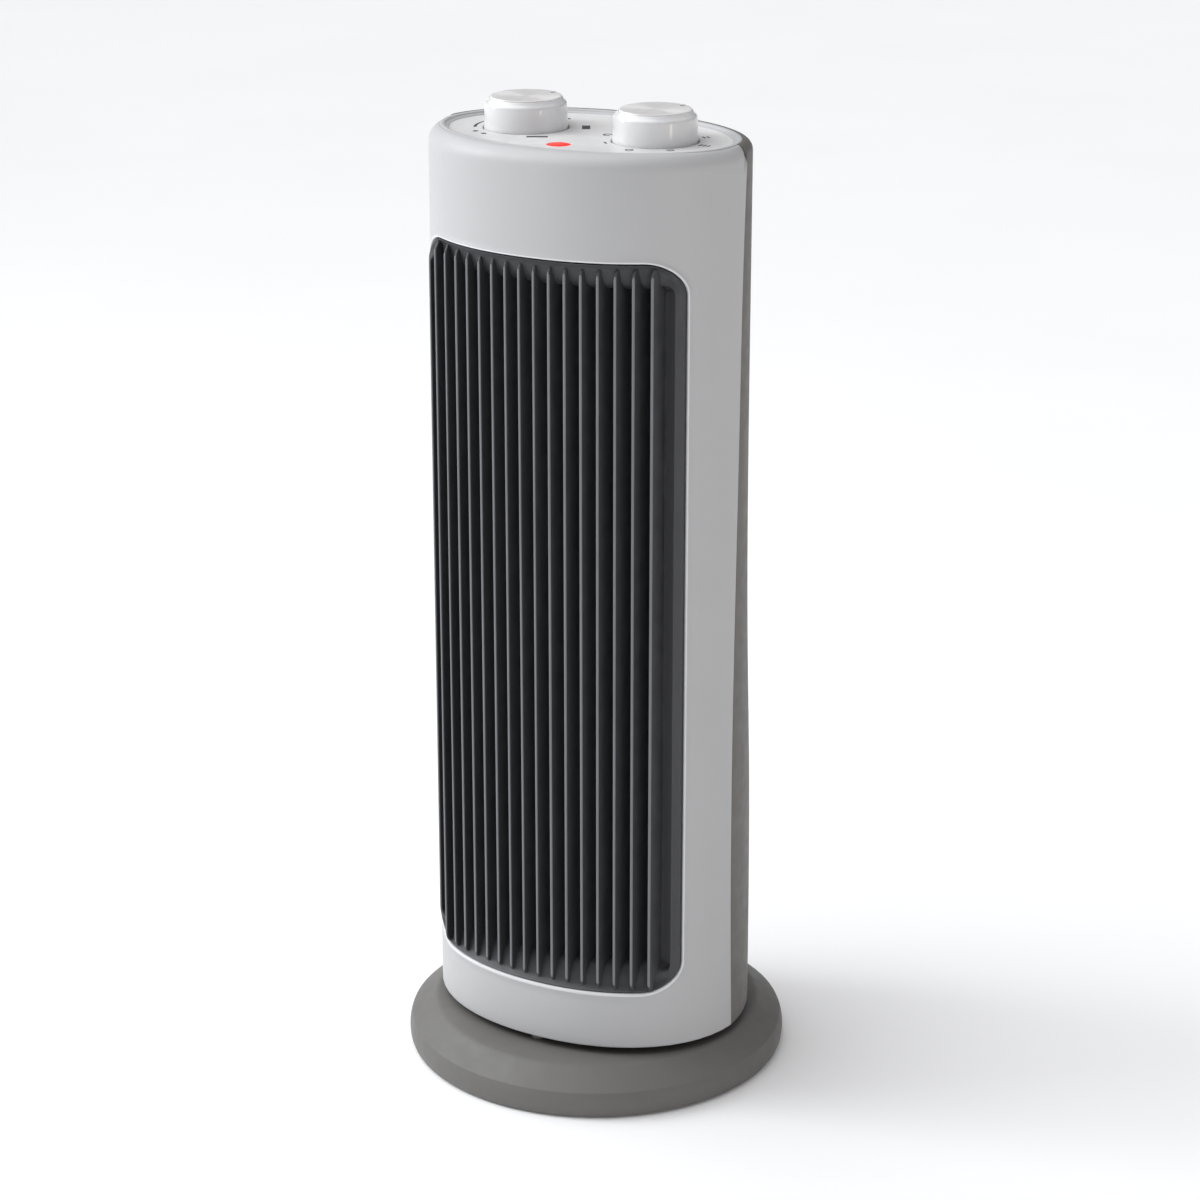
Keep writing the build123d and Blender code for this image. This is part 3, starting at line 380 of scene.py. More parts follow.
def metal(name, colour, roughness, streak, depth, stain):
    """Worn metal: streaks drawn out along one axis, stains and uneven gloss."""
    material, tree, place = start_material(name)
    drawn = add_node(tree, "ShaderNodeMapping", {"Vector": place, "Scale": streak}).outputs["Vector"]
    lines = noise(tree, drawn, 0.8, 4, 0.7)
    clouds = noise(tree, place, 12, 3)
    base = mix_colour(tree, spread(tree, clouds, 0, 1), tint(colour, 1 - stain), tint(colour, 1 + stain))
    gloss = spread(tree, lines, roughness * 0.8, roughness * 1.25)
    more = {"Metallic": 1.0}
    return finish(material, base, gloss, [(lines, depth)], more)


def spun_metal(name, colour):
    """Disc turned on a lathe: fine rings and a sheen that fans out from the centre."""
    material, tree, place = start_material(name)
    box = add_node(tree, "ShaderNodeTexCoord").outputs["Generated"]
    vector = "ShaderNodeVectorMath"
    centred = calc(tree, "SUBTRACT", box, (0.5, 0.5, 0.5), kind=vector)[0]
    flat = calc(tree, "MULTIPLY", centred, (1, 1, 0), kind=vector)[0]
    radius = calc(tree, "LENGTH", flat, kind=vector)["Value"]
    rings = calc(tree, "SINE", calc(tree, "MULTIPLY", radius, 420.0)[0])[0]
    tangent = add_node(tree, "ShaderNodeTangent", direction_type="RADIAL", axis="Z").outputs["Tangent"]
    clouds = noise(tree, place, 6, 3)
    base = mix_colour(tree, spread(tree, clouds, 0, 1), tint(colour, 0.96), tint(colour, 1.03))
    more = {"Tangent": tangent, "Anisotropic": 0.85, "Metallic": 0.35}
    return finish(material, base, spread(tree, clouds, 0.30, 0.34), [(rings, 0.0015)], more)


def laminations(name, colour):
    """Stack of stamped steel sheets, seen on its sides as fine level lines."""
    material, tree, place = start_material(name)
    sheets = bands(tree, place, 1.6, 0.6, "Z")
    rust = noise(tree, place, 6, 4)
    rusty = spread(tree, rust, 0, 0.5, 0.5, 0.7)
    base = mix_colour(tree, rusty, tint(colour, 1.0), (0.23, 0.15, 0.10, 1))
    more = {"Metallic": 0.9}
    return finish(material, base, spread(tree, sheets, 0.35, 0.6, 0, 1), [(sheets, 0.05)], more)


def winding(name, colour):
    """Enamelled copper wire, turn beside turn."""
    material, tree, place = start_material(name)
    wire = bands(tree, place, 2.2, 0.8, "X")
    dark = noise(tree, place, 5, 3)
    base = mix_colour(tree, spread(tree, dark, 0, 0.7), tint(colour, 1.0), tint(colour, 0.5))
    more = {"Metallic": 0.85, "Coat Weight": 0.4}
    return finish(material, base, spread(tree, dark, 0.25, 0.4), [(wire, 0.15)], more)


def lens_red(name):
    """Clear red plastic over a lamp, with faint moulded prisms."""
    material, tree, place = start_material(name)
    cells = add_node(tree, "ShaderNodeTexVoronoi", {"Vector": place, "Scale": 1 / (1.4 * MM)})
    prisms = cells.outputs["Distance"]
    lit, dim = (0.95, 0.045, 0.03, 1), (0.72, 0.015, 0.012, 1)
    base = mix_colour(tree, spread(tree, prisms, 0, 1, 0, 0.8), lit, dim)
    gloss = spread(tree, noise(tree, place, 2, 2), 0.10, 0.18)
    more = {"Specular IOR Level": 0.1, "Emission Color": (1.0, 0.03, 0.02, 1), "Emission Strength": 0.45}
    return finish(material, base, gloss, [(prisms, 0.03)], more)


# One finish for each of the record's material slots
FINISHES = {
    "white_casing": plastic("casing_white", (0.51, 0.512, 0.518), 0.46, (0.35, 0.004), 0.012, 1.1),
    "white_knob": plastic("knob_white", (0.78, 0.78, 0.785), 0.20, (0.5, 0.002), 0.01, 1.1, 0.5),
    "panel_grey": plastic("panel_grey", (0.70, 0.695, 0.69), 0.42, (0.3, 0.006), 0.015, 1.15),
    "grey_casing": plastic("casing_grey", (0.142, 0.132, 0.120), 0.55, (0.45, 0.03), 0.04, 1.3),
    "base_grey": plastic("base_grey", (0.154, 0.149, 0.143), 0.58, (0.45, 0.03), 0.04, 1.35),
    "grille_black": plastic(
        "grille_black", (0.049, 0.050, 0.055), 0.52, (0.4, 0.0015), 0.03, 1.8, dust=0.01
    ),
    "inner_black": plastic("inner_black", (0.012, 0.012, 0.013), 0.6, (0.6, 0.004), 0.05, 1.4, dust=0.01),
    "rubber": plastic("rubber_black", (0.03, 0.03, 0.032), 0.75, (0.8, 0.03), 0.2, 1.4, dust=0.3),
    # White plastic parts coloured mid grey: painted shade for where they sit, under and inside the tower
    "bearing_white": plastic("bearing_white", (0.30, 0.295, 0.28), 0.45, (0.6, 0.01), 0.04, 1.1, dust=0.1),
    "lead_insulation": plastic("lead_white", (0.66, 0.65, 0.62), 0.4, (0.9, 0.01), 0.05, 1.1),
    "lamp_white": plastic("lamp_white", (0.8, 0.78, 0.72), 0.3, (0.6, 0.01), 0.03, 1.1),
    "satin_metal": spun_metal("spun_satin", (0.92, 0.90, 0.89)),
    "zinc_steel": metal("zinc_steel", (0.55, 0.56, 0.58), 0.35, (1, 1, 1), 0.02, 0.2),
    "aluminium": metal("mill_aluminium", (0.62, 0.63, 0.65), 0.38, (6, 1, 1), 0.02, 0.1),
    "brass": metal("tinned_brass", (0.70, 0.58, 0.33), 0.3, (1, 1, 8), 0.01, 0.12),
    "sintered_bronze": metal("sintered_bronze", (0.50, 0.36, 0.20), 0.5, (1, 1, 1), 0.03, 0.2),
    "lamination_steel": laminations("lamination_steel", (0.33, 0.33, 0.34)),
    "copper_winding": winding("copper_winding", (0.72, 0.30, 0.14)),
    "red_lens": lens_red("lens_red"),
}
# The bead round the window, glossier than the casing and coloured paler as a painted highlight; the fins'
# noses, coloured paler as a painted highlight; and the pad-printed ink of the marks
CASING_BEAD_HIGHLIGHT = plastic("casing_bead_highlight", (0.74, 0.745, 0.755), 0.25, (0.35, 0.003), 0.01, 1.1, 0.3)
GRILLE_NOSE_HIGHLIGHT = plastic("grille_nose_highlight", (0.19, 0.195, 0.21), 0.38, (0.4, 0.01), 0.08, 1.3)
MARKING_INK = plastic("marking_ink", (0.045, 0.045, 0.05), 0.5, (0.2, 0.004), 0.3, 1.2)


# ---------------- casing surfaces


def outline_point(turn, half, depth):
    """Point of a squared ellipse in the direction turn, 0 being straight ahead."""
    across, ahead = abs(sin(turn)) / half, abs(cos(turn)) / depth
    reach = (across**FRONT_FULLNESS + ahead**FRONT_FULLNESS) ** (-1 / FRONT_FULLNESS)
    return reach * sin(turn), reach * cos(turn)


def outline_depth(x, half, depth):
    """How far ahead of its centre line a squared ellipse lies at x."""
    return depth * (1 - (abs(x) / half) ** FRONT_FULLNESS) ** (1 / FRONT_FULLNESS)


arc_turns = np.linspace(-2.0, 2.0, 2001)
arc_plan = np.array([outline_point(turn, HALF_WIDTH, FRONT_DEPTH) for turn in arc_turns])
arc_lengths = np.concatenate([[0], np.cumsum(np.hypot(*np.diff(arc_plan, axis=0).T))])
arc_lengths -= np.interp(0.0, arc_turns, arc_lengths)


def turn_at(s):
    """Direction of the point a distance s round the front, 0 at the middle."""
    return float(np.interp(s, arc_lengths, arc_turns))


def along_at(turn):
    return float(np.interp(turn, arc_turns, arc_lengths))


def along_at_x(x):
    return along_at(atan2(x, outline_depth(x, HALF_WIDTH, FRONT_DEPTH)))


def seam_y(z):
    """The parting line between the halves: a smooth curve through its heights."""
    slopes = np.gradient(np.array(SEAM_Y, float), np.array(SEAM_Z, float))
    i = min(max(int(np.searchsorted(SEAM_Z, z)) - 1, 0), len(SEAM_Z) - 2)
    run = SEAM_Z[i + 1] - SEAM_Z[i]
    t = (z - SEAM_Z[i]) / run
    ahead = 3 * t * t - 2 * t**3
    return (
        blend(SEAM_Y[i], SEAM_Y[i + 1], ahead)
        + run * slopes[i] * (t**3 - 2 * t * t + t)
        + run * slopes[i + 1] * (t**3 - t * t)
    )


def seam_along(t):
    """Distance round the front at which the seam lies, at climb t."""
    ahead = FRONT_CENTRE_Y - seam_y(min(t, BODY_TOP))
    return along_at(atan2(outline_depth(ahead, FRONT_DEPTH, HALF_WIDTH), ahead))


def over_edge(t, round_r):
    """(tilt, inset, height) at climb t, up a wall, over its top round and in along the flat top."""
    start = BODY_TOP - round_r
    over = t - start
    if over <= 0:
        return 0.0, 0.0, t
    if over <= round_r * pi / 2:
        tilt = over / round_r
        return tilt, round_r * (1 - cos(tilt)), start + round_r * sin(tilt)
    return pi / 2, round_r + over - round_r * pi / 2, BODY_TOP


def climb_at_inset(inset, round_r):
    """The inverse of over_edge: the climb at which the surface has come in by inset."""
    start = BODY_TOP - round_r
    if inset < round_r:
        return start + round_r * acos(1 - inset / round_r)
    return start + round_r * pi / 2 + inset - round_r


def panel_inset(x, y, nx, ny):
    """How far in from a point on the casing's outline the panel's opening begins."""
    half_x, half_y = PANEL_HALF[0] + PANEL_GAP, PANEL_HALF[1] + PANEL_GAP
    low, high = 0.0, 25.0
    for _ in range(40):
        middle = (low + high) / 2
        px, py = x - nx * middle, y - ny * middle
        if (px / half_x) ** 2 + ((py - PANEL_Y) / half_y) ** 2 > 1:
            low = middle
        else:
            high = middle
    return (low + high) / 2


def front_plan(turn):
    """Point on the front's outline and its outward normal, in plan."""
    x, ahead = outline_point(turn, HALF_WIDTH, FRONT_DEPTH)
    power = FRONT_FULLNESS - 1
    nx = copysign((abs(x) / HALF_WIDTH) ** power / HALF_WIDTH, x)
    ny = -copysign((abs(ahead) / FRONT_DEPTH) ** power / FRONT_DEPTH, ahead)
    size = hypot(nx, ny)
    return x, FRONT_CENTRE_Y - ahead, nx / size, ny / size


def front_skin(s, t, lift=0.0):
    """Point of the front half, s round it and t up it, lifted along its normal."""
    x, y, nx, ny = front_plan(turn_at(s))
    tilt, inset, z = over_edge(t, FRONT_TOP_ROUND)
    out = lift * cos(tilt) - inset
    return x + nx * out, y + ny * out, z + lift * sin(tilt)


def front_climb_end(s):
    """Climb at which the front half meets the panel."""
    return climb_at_inset(panel_inset(*front_plan(turn_at(s))), FRONT_TOP_ROUND)


# ---------------- window outline

SIDE_STEPS, CORNER_STEPS, END_STEPS = 36, 14, 44
BORDER_MARGIN = 5.0


def window_outline(half, low, high, corner):
    """Rounded rectangle as (x, z, nx, nz, side, share) going round from the lower right.

    side says which border of the casing the point looks towards, and share how far along it.
    """
    loop = []
    straight = high - low - 2 * corner
    across = 2 * (half - corner)
    quarters = ((1, 0, "right"), (0, 1, "top"), (-1, 0, "left"), (0, -1, "bottom"))
    for nx, nz, side in quarters:
        steps, run = (SIDE_STEPS, straight) if nz == 0 else (END_STEPS, across)
        middle_x, middle_z = nx * half, (low + high) / 2 + nz * (high - low) / 2
        for i in range(steps):
            along = run * (i / steps - 0.5)
            loop.append((middle_x - nz * along, middle_z + nx * along, nx, nz, side, None))
        cx = middle_x - nz * run / 2 - nx * corner
        cz = middle_z + nx * run / 2 - nz * corner
        for i in range(CORNER_STEPS):
            turn = atan2(nz, nx) + pi / 2 * i / CORNER_STEPS
            ox, oz = cos(turn), sin(turn)
            loop.append((cx + corner * ox, cz + corner * oz, ox, oz, side, i / CORNER_STEPS))
    return loop


def casing_border(loop, reach):
    """Where each outline point meets the casing's border: at reach 0 a margin inside it, at 1 on it."""
    margin = BORDER_MARGIN * (1 - reach)
    ordered = ("right", "top", "left", "bottom")
    start_climb = BODY_TOP - FRONT_TOP_ROUND - 0.5
    low = BODY_BOTTOM + margin

    def top_climb(s):
        return blend(start_climb, front_climb_end(s), reach)

    def side_point(sign, t):
        return sign * (seam_along(t) - margin), t

    def end_point(side, s):
        return (s, top_climb(s)) if side == "top" else (s, low)

    edge_s = seam_along(BODY_TOP - 2) - margin
    low_s = seam_along(low) - margin
    made = []
    for x, z, _, _, side, share in loop:
        sign = 1 if x > 0 else -1
        if share is None:
            beside = side in ("right", "left")
            made.append(side_point(sign, z) if beside else end_point(side, along_at_x(x)))
            continue
        following = ordered[(ordered.index(side) + 1) % 4]
        upper = "top" in (side, following)
        corner = (sign * edge_s, top_climb(edge_s)) if upper else (sign * low_s, low)
        upright = side in ("right", "left")
        near_z = CORNER_Z[1] if upper else CORNER_Z[0]
        near_s = sign * along_at_x(CORNER_X)
        first, second = share * 2, share * 2 - 1
        if upright and first < 1:  # up or down the side border to its corner
            made.append(side_point(sign, blend(near_z, corner[1], first)))
        elif upright:  # and on along the end border
            made.append(end_point(following, blend(corner[0], near_s, second)))
        elif first < 1:  # along the end border to its corner
            made.append(end_point(side, blend(near_s, corner[0], first)))
        else:  # and on along the side border
            made.append(side_point(sign, blend(corner[1], near_z, second)))
    return made


OPEN_HALF = WINDOW_HALF + WINDOW_GAP
OPEN_LOW, OPEN_HIGH = WINDOW_LOW - WINDOW_GAP, WINDOW_HIGH + WINDOW_GAP
OPEN_CORNER = WINDOW_CORNER + WINDOW_GAP
CORNER_X = OPEN_HALF - OPEN_CORNER
CORNER_Z = (OPEN_LOW + OPEN_CORNER, OPEN_HIGH - OPEN_CORNER)

# Lip round the window, as (distance out, lift): a narrow bead, and a wider flare under it
LIP = (
    (0, -WALL), (0, -0.3), (0.1, 0.2), (0.35, 0.62), (0.75, 0.82), (1.2, 0.78), (1.8, 0.55), (2.7, 0.25),
    (4.0, 0.06), (5.5, 0.0),
)
LIP_BEAD = (1, 5)  # rings of the lip that make up its bead, coloured paler as a painted highlight
FLARE = (
    (0, -WALL), (0, -0.3), (0.1, 0.2), (0.4, 0.68), (0.95, 0.85), (1.9, 0.72), (3.2, 0.38), (4.8, 0.06),
    (6.8, -0.1), (9.5, 0.0),
)
EDGE_REACH = (0.0, 0.12, 0.24, 0.36, 0.48, 0.6, 0.72, 0.82, 0.9, 0.955, 0.985, 1.0)
EDGE_LIFT = (0, 0, 0, 0, 0, 0, 0, 0, -0.04, -0.14, -0.34, -0.75)


def unrolled_normal(x, nx, nz):
    """Outline normal measured on the unrolled casing rather than in the plane of the window."""
    _, _, _, ny = front_plan(turn_at(along_at_x(x)))
    stretch = 1 / abs(ny)
    size = hypot(nx, nz * stretch)
    return nx / size, nz * stretch / size


def make_front_casing():
    """White front half: a lofted skin from the window's lip to the seam, the foot and the panel."""
    loop = window_outline(OPEN_HALF, OPEN_LOW, OPEN_HIGH, OPEN_CORNER)
    rings = []
    for lip, flare in zip(LIP, FLARE):
        ring, last = [], []
        for x, z, nx, nz, _, _ in loop:
            under = ease(-nz, 0.1, 0.9)
            out, lift = blend(lip[0], flare[0], under), blend(lip[1], flare[1], under)
            ns, nt = unrolled_normal(x, nx, nz)
            s, t = along_at_x(x) + ns * out, z + nt * out
            last.append((s, t))
            ring.append(front_skin(s, t, lift))
        rings.append(ring)
    inner_border = casing_border(loop, 0.0)

    def between(share, lift):
        pairs = zip(last, inner_border)
        return [front_skin(blend(a[0], b[0], share), blend(a[1], b[1], share), lift) for a, b in pairs]

    rings += [between(share, 0.0) for share in (0.1, 0.2, 0.32, 0.44, 0.56, 0.68, 0.8, 0.9)]
    for reach, lift in zip(EDGE_REACH, EDGE_LIFT):
        rings.append([front_skin(s, t, lift) for s, t in casing_border(loop, reach)])
    for reach in (1.0, 0.8, 0.6, 0.4, 0.2, 0.0):
        rings.append([front_skin(s, t, -WALL) for s, t in casing_border(loop, reach)])
    rings += [between(share, -WALL) for share in (0.85, 0.65, 0.45, 0.25)]
    piece = add_piece("front_casing", loft(rings, closed=True), "tower", "white_casing", ["front_shell"])
    # The bead's faces take the paler finish: a painted highlight round the window
    piece.data.materials.append(CASING_BEAD_HIGHLIGHT)
    for face in piece.data.polygons[LIP_BEAD[0] * len(loop):LIP_BEAD[1] * len(loop)]:
        face.material_index = 1


# ---------------- outlet grille

# Frame profile as (distance in from the window's edge, depth behind the frame's own outline).
# Beside the fins: a band with a rounded inner shoulder, then (after BAND_POINTS) a ledge of constant y.
SIDE_BAND = (
    (0.0, 8.0), (0.0, 1.0), (0.06, 0.45), (0.3, 0.12), (0.8, 0.0), (1.6, 0.0), (2.5, -0.08), (3.0, -0.06),
    (3.35, 0.15), (3.6, 0.6), (3.8, 1.5), (3.95, 2.8), (4.1, 4.0), (4.6, 0.0), (6.5, 0.0), (9.5, 0.0),
    (13.0, 0.0), (13.0, 2.0), (5.5, 2.0),
)
BAND_POINTS = 13
# Above and below the fins: a long scoop that leads in to the duct.
END_SCOOP = (
    (0.0, 8.0), (0.0, 1.2), (0.05, 0.8), (0.2, 0.65), (0.5, 0.9), (1.1, 1.7), (2.2, 3.1), (3.6, 4.0),
    (5.0, 4.5), (6.6, 5.0), (8.4, 5.6), (10.2, 6.3), (11.8, 7.3), (13.2, 8.4), (14.6, 10.0), (15.7, 12.2),
    (16.4, 16.0), (15.0, 16.5), (4.0, 8.5),
)


def grille_outline_y(x, proud):
    """Front of the grille's frame: the casing's outline, standing proud of it."""
    return FRONT_CENTRE_Y - outline_depth(x, HALF_WIDTH + proud, FRONT_DEPTH + proud)


def make_grille_frame():
    low, high, corner = WINDOW_LOW + GRILLE_GAP, WINDOW_HIGH - GRILLE_GAP, WINDOW_CORNER - GRILLE_GAP
    loop = window_outline(WINDOW_HALF - GRILLE_GAP, low, high, corner)
    rings = []
    for i, (side, end) in enumerate(zip(SIDE_BAND, END_SCOOP)):
        ring = []
        for x, z, nx, nz, _, _ in loop:
            towards_end = ease(abs(nz), 0.1, 0.9)
            inward = blend(side[0], end[0], towards_end)
            px, pz = x - nx * inward, z - nz * inward
            beside = LEDGE_Y if i >= BAND_POINTS else grille_outline_y(px, GRILLE_PROUD[0])
            above = grille_outline_y(px, GRILLE_PROUD[1])
            ring.append((px, blend(beside + side[1], above + end[1], towards_end), pz))
        rings.append(ring)
    add_piece("grille_frame", loft(rings, closed=True), "tower", "grille_black", ["outlet_grille"], 60)


def fin_section(x, nose_y, back_y):
    """Plan of a fin: a round nose, then two nearly parallel faces."""
    half = FIN_THICK / 2
    turns = [pi * (i / 8) for i in range(9)]
    nose = [(x + half * cos(t), nose_y + half * (1 - sin(t))) for t in turns]
    grow = 0.25  # a fin is that much thicker on each side at its back
    return [*nose, (x - half - grow, back_y), (x + half + grow, back_y)]


def make_fins():
    (foot_back, foot_tall, foot_stop), (head_back, head_tall, head_stop) = FIN_FOOT, FIN_HEAD
    low, high = WINDOW_LOW + foot_stop, WINDOW_HIGH - head_stop
    stations = [(low + foot_tall * i / 8, foot_back * (1 - i / 8) ** 1.7) for i in range(9)]
    stations += [(blend(low + foot_tall, high - head_tall, i / 6), 0.0) for i in range(1, 6)]
    stations += [(high - head_tall * (1 - i / 8), head_back * (i / 8) ** 1.7) for i in range(9)]
    parts = []
    for i in range(FIN_COUNT):
        x = (i - (FIN_COUNT - 1) / 2) * FIN_PITCH
        front = GRILLE_ARC_Y - sqrt(GRILLE_ARC_R**2 - x * x)
        trim = WINDOW_CORNER - sqrt(WINDOW_CORNER**2 - max(0.0, abs(x) - CORNER_X) ** 2)
        rings = []
        for z, back in stations:
            at_z = min(max(z, low + trim), high - trim)
            section = fin_section(x, front + back, front + FIN_DEPTH)
            rings.append([(px, py, at_z) for px, py in section])
        parts.append(loft(rings, capped=True))
    piece = add_piece("grille_fins", join(parts), "tower", "grille_black", ["outlet_grille"], 60)
    # The nose faces take the paler finish: a painted highlight down each fin's front
    piece.data.materials.append(GRILLE_NOSE_HIGHLIGHT)
    for face in piece.data.polygons:
        arc_y = GRILLE_ARC_Y - sqrt(GRILLE_ARC_R**2 - (face.center.x / MM) ** 2)
        behind = face.center.y / MM - arc_y
        if behind < NOSE_HIGHLIGHT_DEPTH and abs(face.normal.z) < 0.5:
            face.material_index = 1


# ---------------- rear casing


class Sheet:
    """An open sheet laid out on a grid of (u, v) lines, with holes in some of its cells."""

    def __init__(self, place):
        self.place, self.points, self.faces, self.index = place, [], [], {}

    def vertex(self, u, v):
        key = (round(u, 4), round(v, 4))
        if key not in self.index:
            self.index[key] = len(self.points)
            self.points.append(self.place(u, v))
        return self.index[key]

    def grid(self, us, vs, holes):
        """Quads between the lines, leaving out the cells that holes cover."""
        for u0, u1 in zip(us, us[1:]):
            for v0, v1 in zip(vs, vs[1:]):
                mu, mv = (u0 + u1) / 2, (v0 + v1) / 2
                if any(a < mu < b and c < mv < d for a, b, c, d in holes):
                    continue
                corners = [(u0, v0), (u1, v0), (u1, v1), (u0, v1)]
                self.faces.append(tuple(self.vertex(u, v) for u, v in corners))

    def holed_cell(self, us, vs, cell, outline):
        """Fills a cell round a hole; outline gives the hole's point for each border point."""
        low_u, high_u, low_v, high_v = cell
        inside_u = [u for u in us if low_u - 1e-6 <= u <= high_u + 1e-6]
        inside_v = [v for v in vs if low_v - 1e-6 <= v <= high_v + 1e-6]
        border = [(u, low_v) for u in inside_u] + [(high_u, v) for v in inside_v[1:]]
        border += [(u, high_v) for u in reversed(inside_u[:-1])]
        border += [(low_u, v) for v in reversed(inside_v[1:-1])]
        ring = [outline(u, v, i, len(border)) for i, (u, v) in enumerate(border)]
        for i in range(len(border)):
            k = (i + 1) % len(border)
            quad = [border[i], border[k], ring[k], ring[i]]
            self.faces.append(tuple(self.vertex(u, v) for u, v in quad))


def rear_depth(z):
    return REAR_SLIM_Y + REAR_BULGE / (1 + exp((z - REAR_BULGE_MID_Z) / REAR_BULGE_RUN))


REAR_GRID_X = 88.0


def rear_turn(u, z):
    """Ellipse parameter of column u: its own x out to REAR_GRID_X, then shares of the way to the seam."""
    edge = asin(REAR_GRID_X / REAR_HALF_WIDTH)
    if abs(u) <= REAR_GRID_X:
        return asin(u / REAR_HALF_WIDTH)
    depth = rear_depth(z) - REAR_CENTRE_Y
    seam = acos((seam_y(z) + SEAM_GAP - REAR_CENTRE_Y) / depth)
    return copysign(blend(edge, seam, abs(u) - REAR_GRID_X), u)


def rear_plan(turn, z):
    depth = rear_depth(z) - REAR_CENTRE_Y
    x, y = REAR_HALF_WIDTH * sin(turn), REAR_CENTRE_Y + depth * cos(turn)
    nx, ny = sin(turn) / REAR_HALF_WIDTH, cos(turn) / depth
    size = hypot(nx, ny)
    return x, y, nx / size, ny / size


def rear_place(u, v):
    """Point of the back at column u: v up the wall, then past its top a share of the way to the panel."""
    wall_top = BODY_TOP - REAR_TOP_ROUND
    height = min(v, wall_top)
    x, y, nx, ny = rear_plan(rear_turn(u, height), height)
    if v <= wall_top:
        return x, y, v
    end = climb_at_inset(panel_inset(x, y, nx, ny), REAR_TOP_ROUND)
    tilt, inset, z = over_edge(blend(wall_top, end, v - wall_top), REAR_TOP_ROUND)
    return x - nx * inset, y - ny * inset, z


def slot_outline(centre_x, centre_z):
    """Round-ended slot whose points match those of a cell's border."""
    half_long, half_high = INTAKE_SLOT[0] / 2, INTAKE_SLOT[1] / 2
    straight = half_long - half_high

    def outline(u, v, _i, _count):
        across, up = u - centre_x, v - centre_z
        side = INTAKE_CELL / 2
        if abs(across) < side - 1e-6:
            return centre_x + across * straight / (side * 0.75), centre_z + copysign(half_high, up)
        turn = pi / 3 * up / (INTAKE_STEP / 2)
        reach = copysign(straight + half_high * cos(turn), across)
        return centre_x + reach, centre_z + half_high * sin(turn)

    return outline


def round_outline(centre_x, centre_z, radius):
    def outline(_u, _v, i, count):
        turn = -3 * pi / 4 + 2 * pi * i / count
        return centre_x + radius * cos(turn), centre_z + radius * sin(turn)

    return outline


INTAKE_STEP = (INTAKE_HIGH - INTAKE_LOW) / (INTAKE_ROWS - 1)


def make_rear_casing():
    """Grey back half: swelling wall, intake slots, screw wells, rounded top."""
    field_u = [-66 + 5.5 * i for i in range(25)]
    beyond = [72, 76, 80, 84, 88]
    beyond += [REAR_GRID_X + share for share in (0.14, 0.28, 0.42, 0.56, 0.7, 0.84, 0.93, 1.0)]
    us = [-u for u in reversed(beyond)] + field_u + beyond
    field_low = INTAKE_LOW - INTAKE_STEP / 2
    field_v = [field_low + INTAKE_STEP * i / 4 for i in range(4 * INTAKE_ROWS + 1)]
    low_v = [BODY_BOTTOM, 34, 40, 46, 50, 54, 58, 62, 72, 84, 98, 112, 126, 140, 152, 164, 175]
    wall_top = BODY_TOP - REAR_TOP_ROUND
    high_v = [462, 480, 500, 520, 540, 544, 548, 552, 556, 566, wall_top]
    top_v = [wall_top + share for share in (0.12, 0.25, 0.38, 0.5, 0.63, 0.76, 0.88, 1.0)]
    vs = low_v + field_v + high_v + top_v
    cells = []
    for x in INTAKE_COLUMNS:
        for row in range(INTAKE_ROWS):
            z = INTAKE_LOW + INTAKE_STEP * row
            half_u, half_v = INTAKE_CELL / 2, INTAKE_STEP / 2
            cells.append(((x - half_u, x + half_u, z - half_v, z + half_v), slot_outline(x, z)))
    for side in (-1, 1):
        for z in SCREW_LEVELS:
            x = side * SCREW_X
            cells.append(((x - 8, x + 8, z - 8, z + 8), round_outline(x, z, SCREW_WELL_R)))
    sheet = Sheet(rear_place)
    sheet.grid(us, vs, [cell for cell, _ in cells])
    for cell, outline in cells:
        sheet.holed_cell(us, vs, cell, outline)
    faces = [tuple(reversed(face)) for face in sheet.faces]
    piece = add_piece("rear_casing", (sheet.points, faces), "tower", "grey_casing", ["rear_shell"])
    point_outward(piece, Vector((0, REAR_CENTRE_Y * MM, 0.3)))
    thicken(piece, WALL)
    soften(piece, 0.35)


def point_outward(piece, centre):
    """Turns an open sheet's faces so that they look away from a point inside."""
    mesh = piece.data
    facing = sum(f.normal.dot(f.center - centre) for f in mesh.polygons)
    if facing < 0:
        mesh.flip_normals()


def make_screw_wells():
    """Tubes that lead in from the back to the heads of the casing screws."""
    parts = []
    outer, inner = SCREW_WELL_R + SCREW_WELL_WALL, SCREW_WELL_R
    for side in (-1, 1):
        for level in SCREW_LEVELS:
            rings = []
            for radius, at_mouth in ((outer, False), (outer, True), (inner, True), (inner, False)):
                ring = []
                for c, s in around(32):
                    x, z = side * SCREW_X + radius * c, level + radius * s
                    mouth_y = rear_plan(asin(x / REAR_HALF_WIDTH), z)[1] - SCREW_WELL_SUNK
                    ring.append((x, mouth_y if at_mouth else SCREW_WELL_FLOOR_Y, z))
                rings.append(ring)
            parts.append(loft(rings, closed=True))
    add_piece("screw_wells", join(parts), "tower", "grey_casing")


# ---------------- control panel

PANEL_STEPS = 176
# Border as (distance in, height below the casing's top): a raised rim with two steps down to the face
BORDER = (
    (0.0, 4.7), (0.0, 0.95), (0.15, 0.5), (0.5, 0.25), (1.1, 0.2), (2.2, 0.3), (2.7, 0.5), (2.95, 0.85),
    (3.05, 1.25), (3.3, 1.5), (3.8, 1.6), (4.9, 1.75), (5.2, 1.95), (5.35, 2.25), (5.5, 2.42), (5.8, 2.5),
)


def panel_ring(inset, z):
    half_x, half_y = PANEL_HALF[0] - inset, PANEL_HALF[1] - inset
    return [(half_x * c, PANEL_Y + half_y * s, z) for c, s in around(PANEL_STEPS)]


def fill_face(bm, loops):
    """Fills a flat region bounded by several loops of vertices."""
    edges = []
    for loop in loops:
        for a, b in zip(loop, loop[1:] + loop[:1]):
            edges.append(bm.edges.get((a, b)) or bm.edges.new((a, b)))
    bmesh.ops.triangle_fill(bm, use_beauty=True, use_dissolve=False, edges=edges)


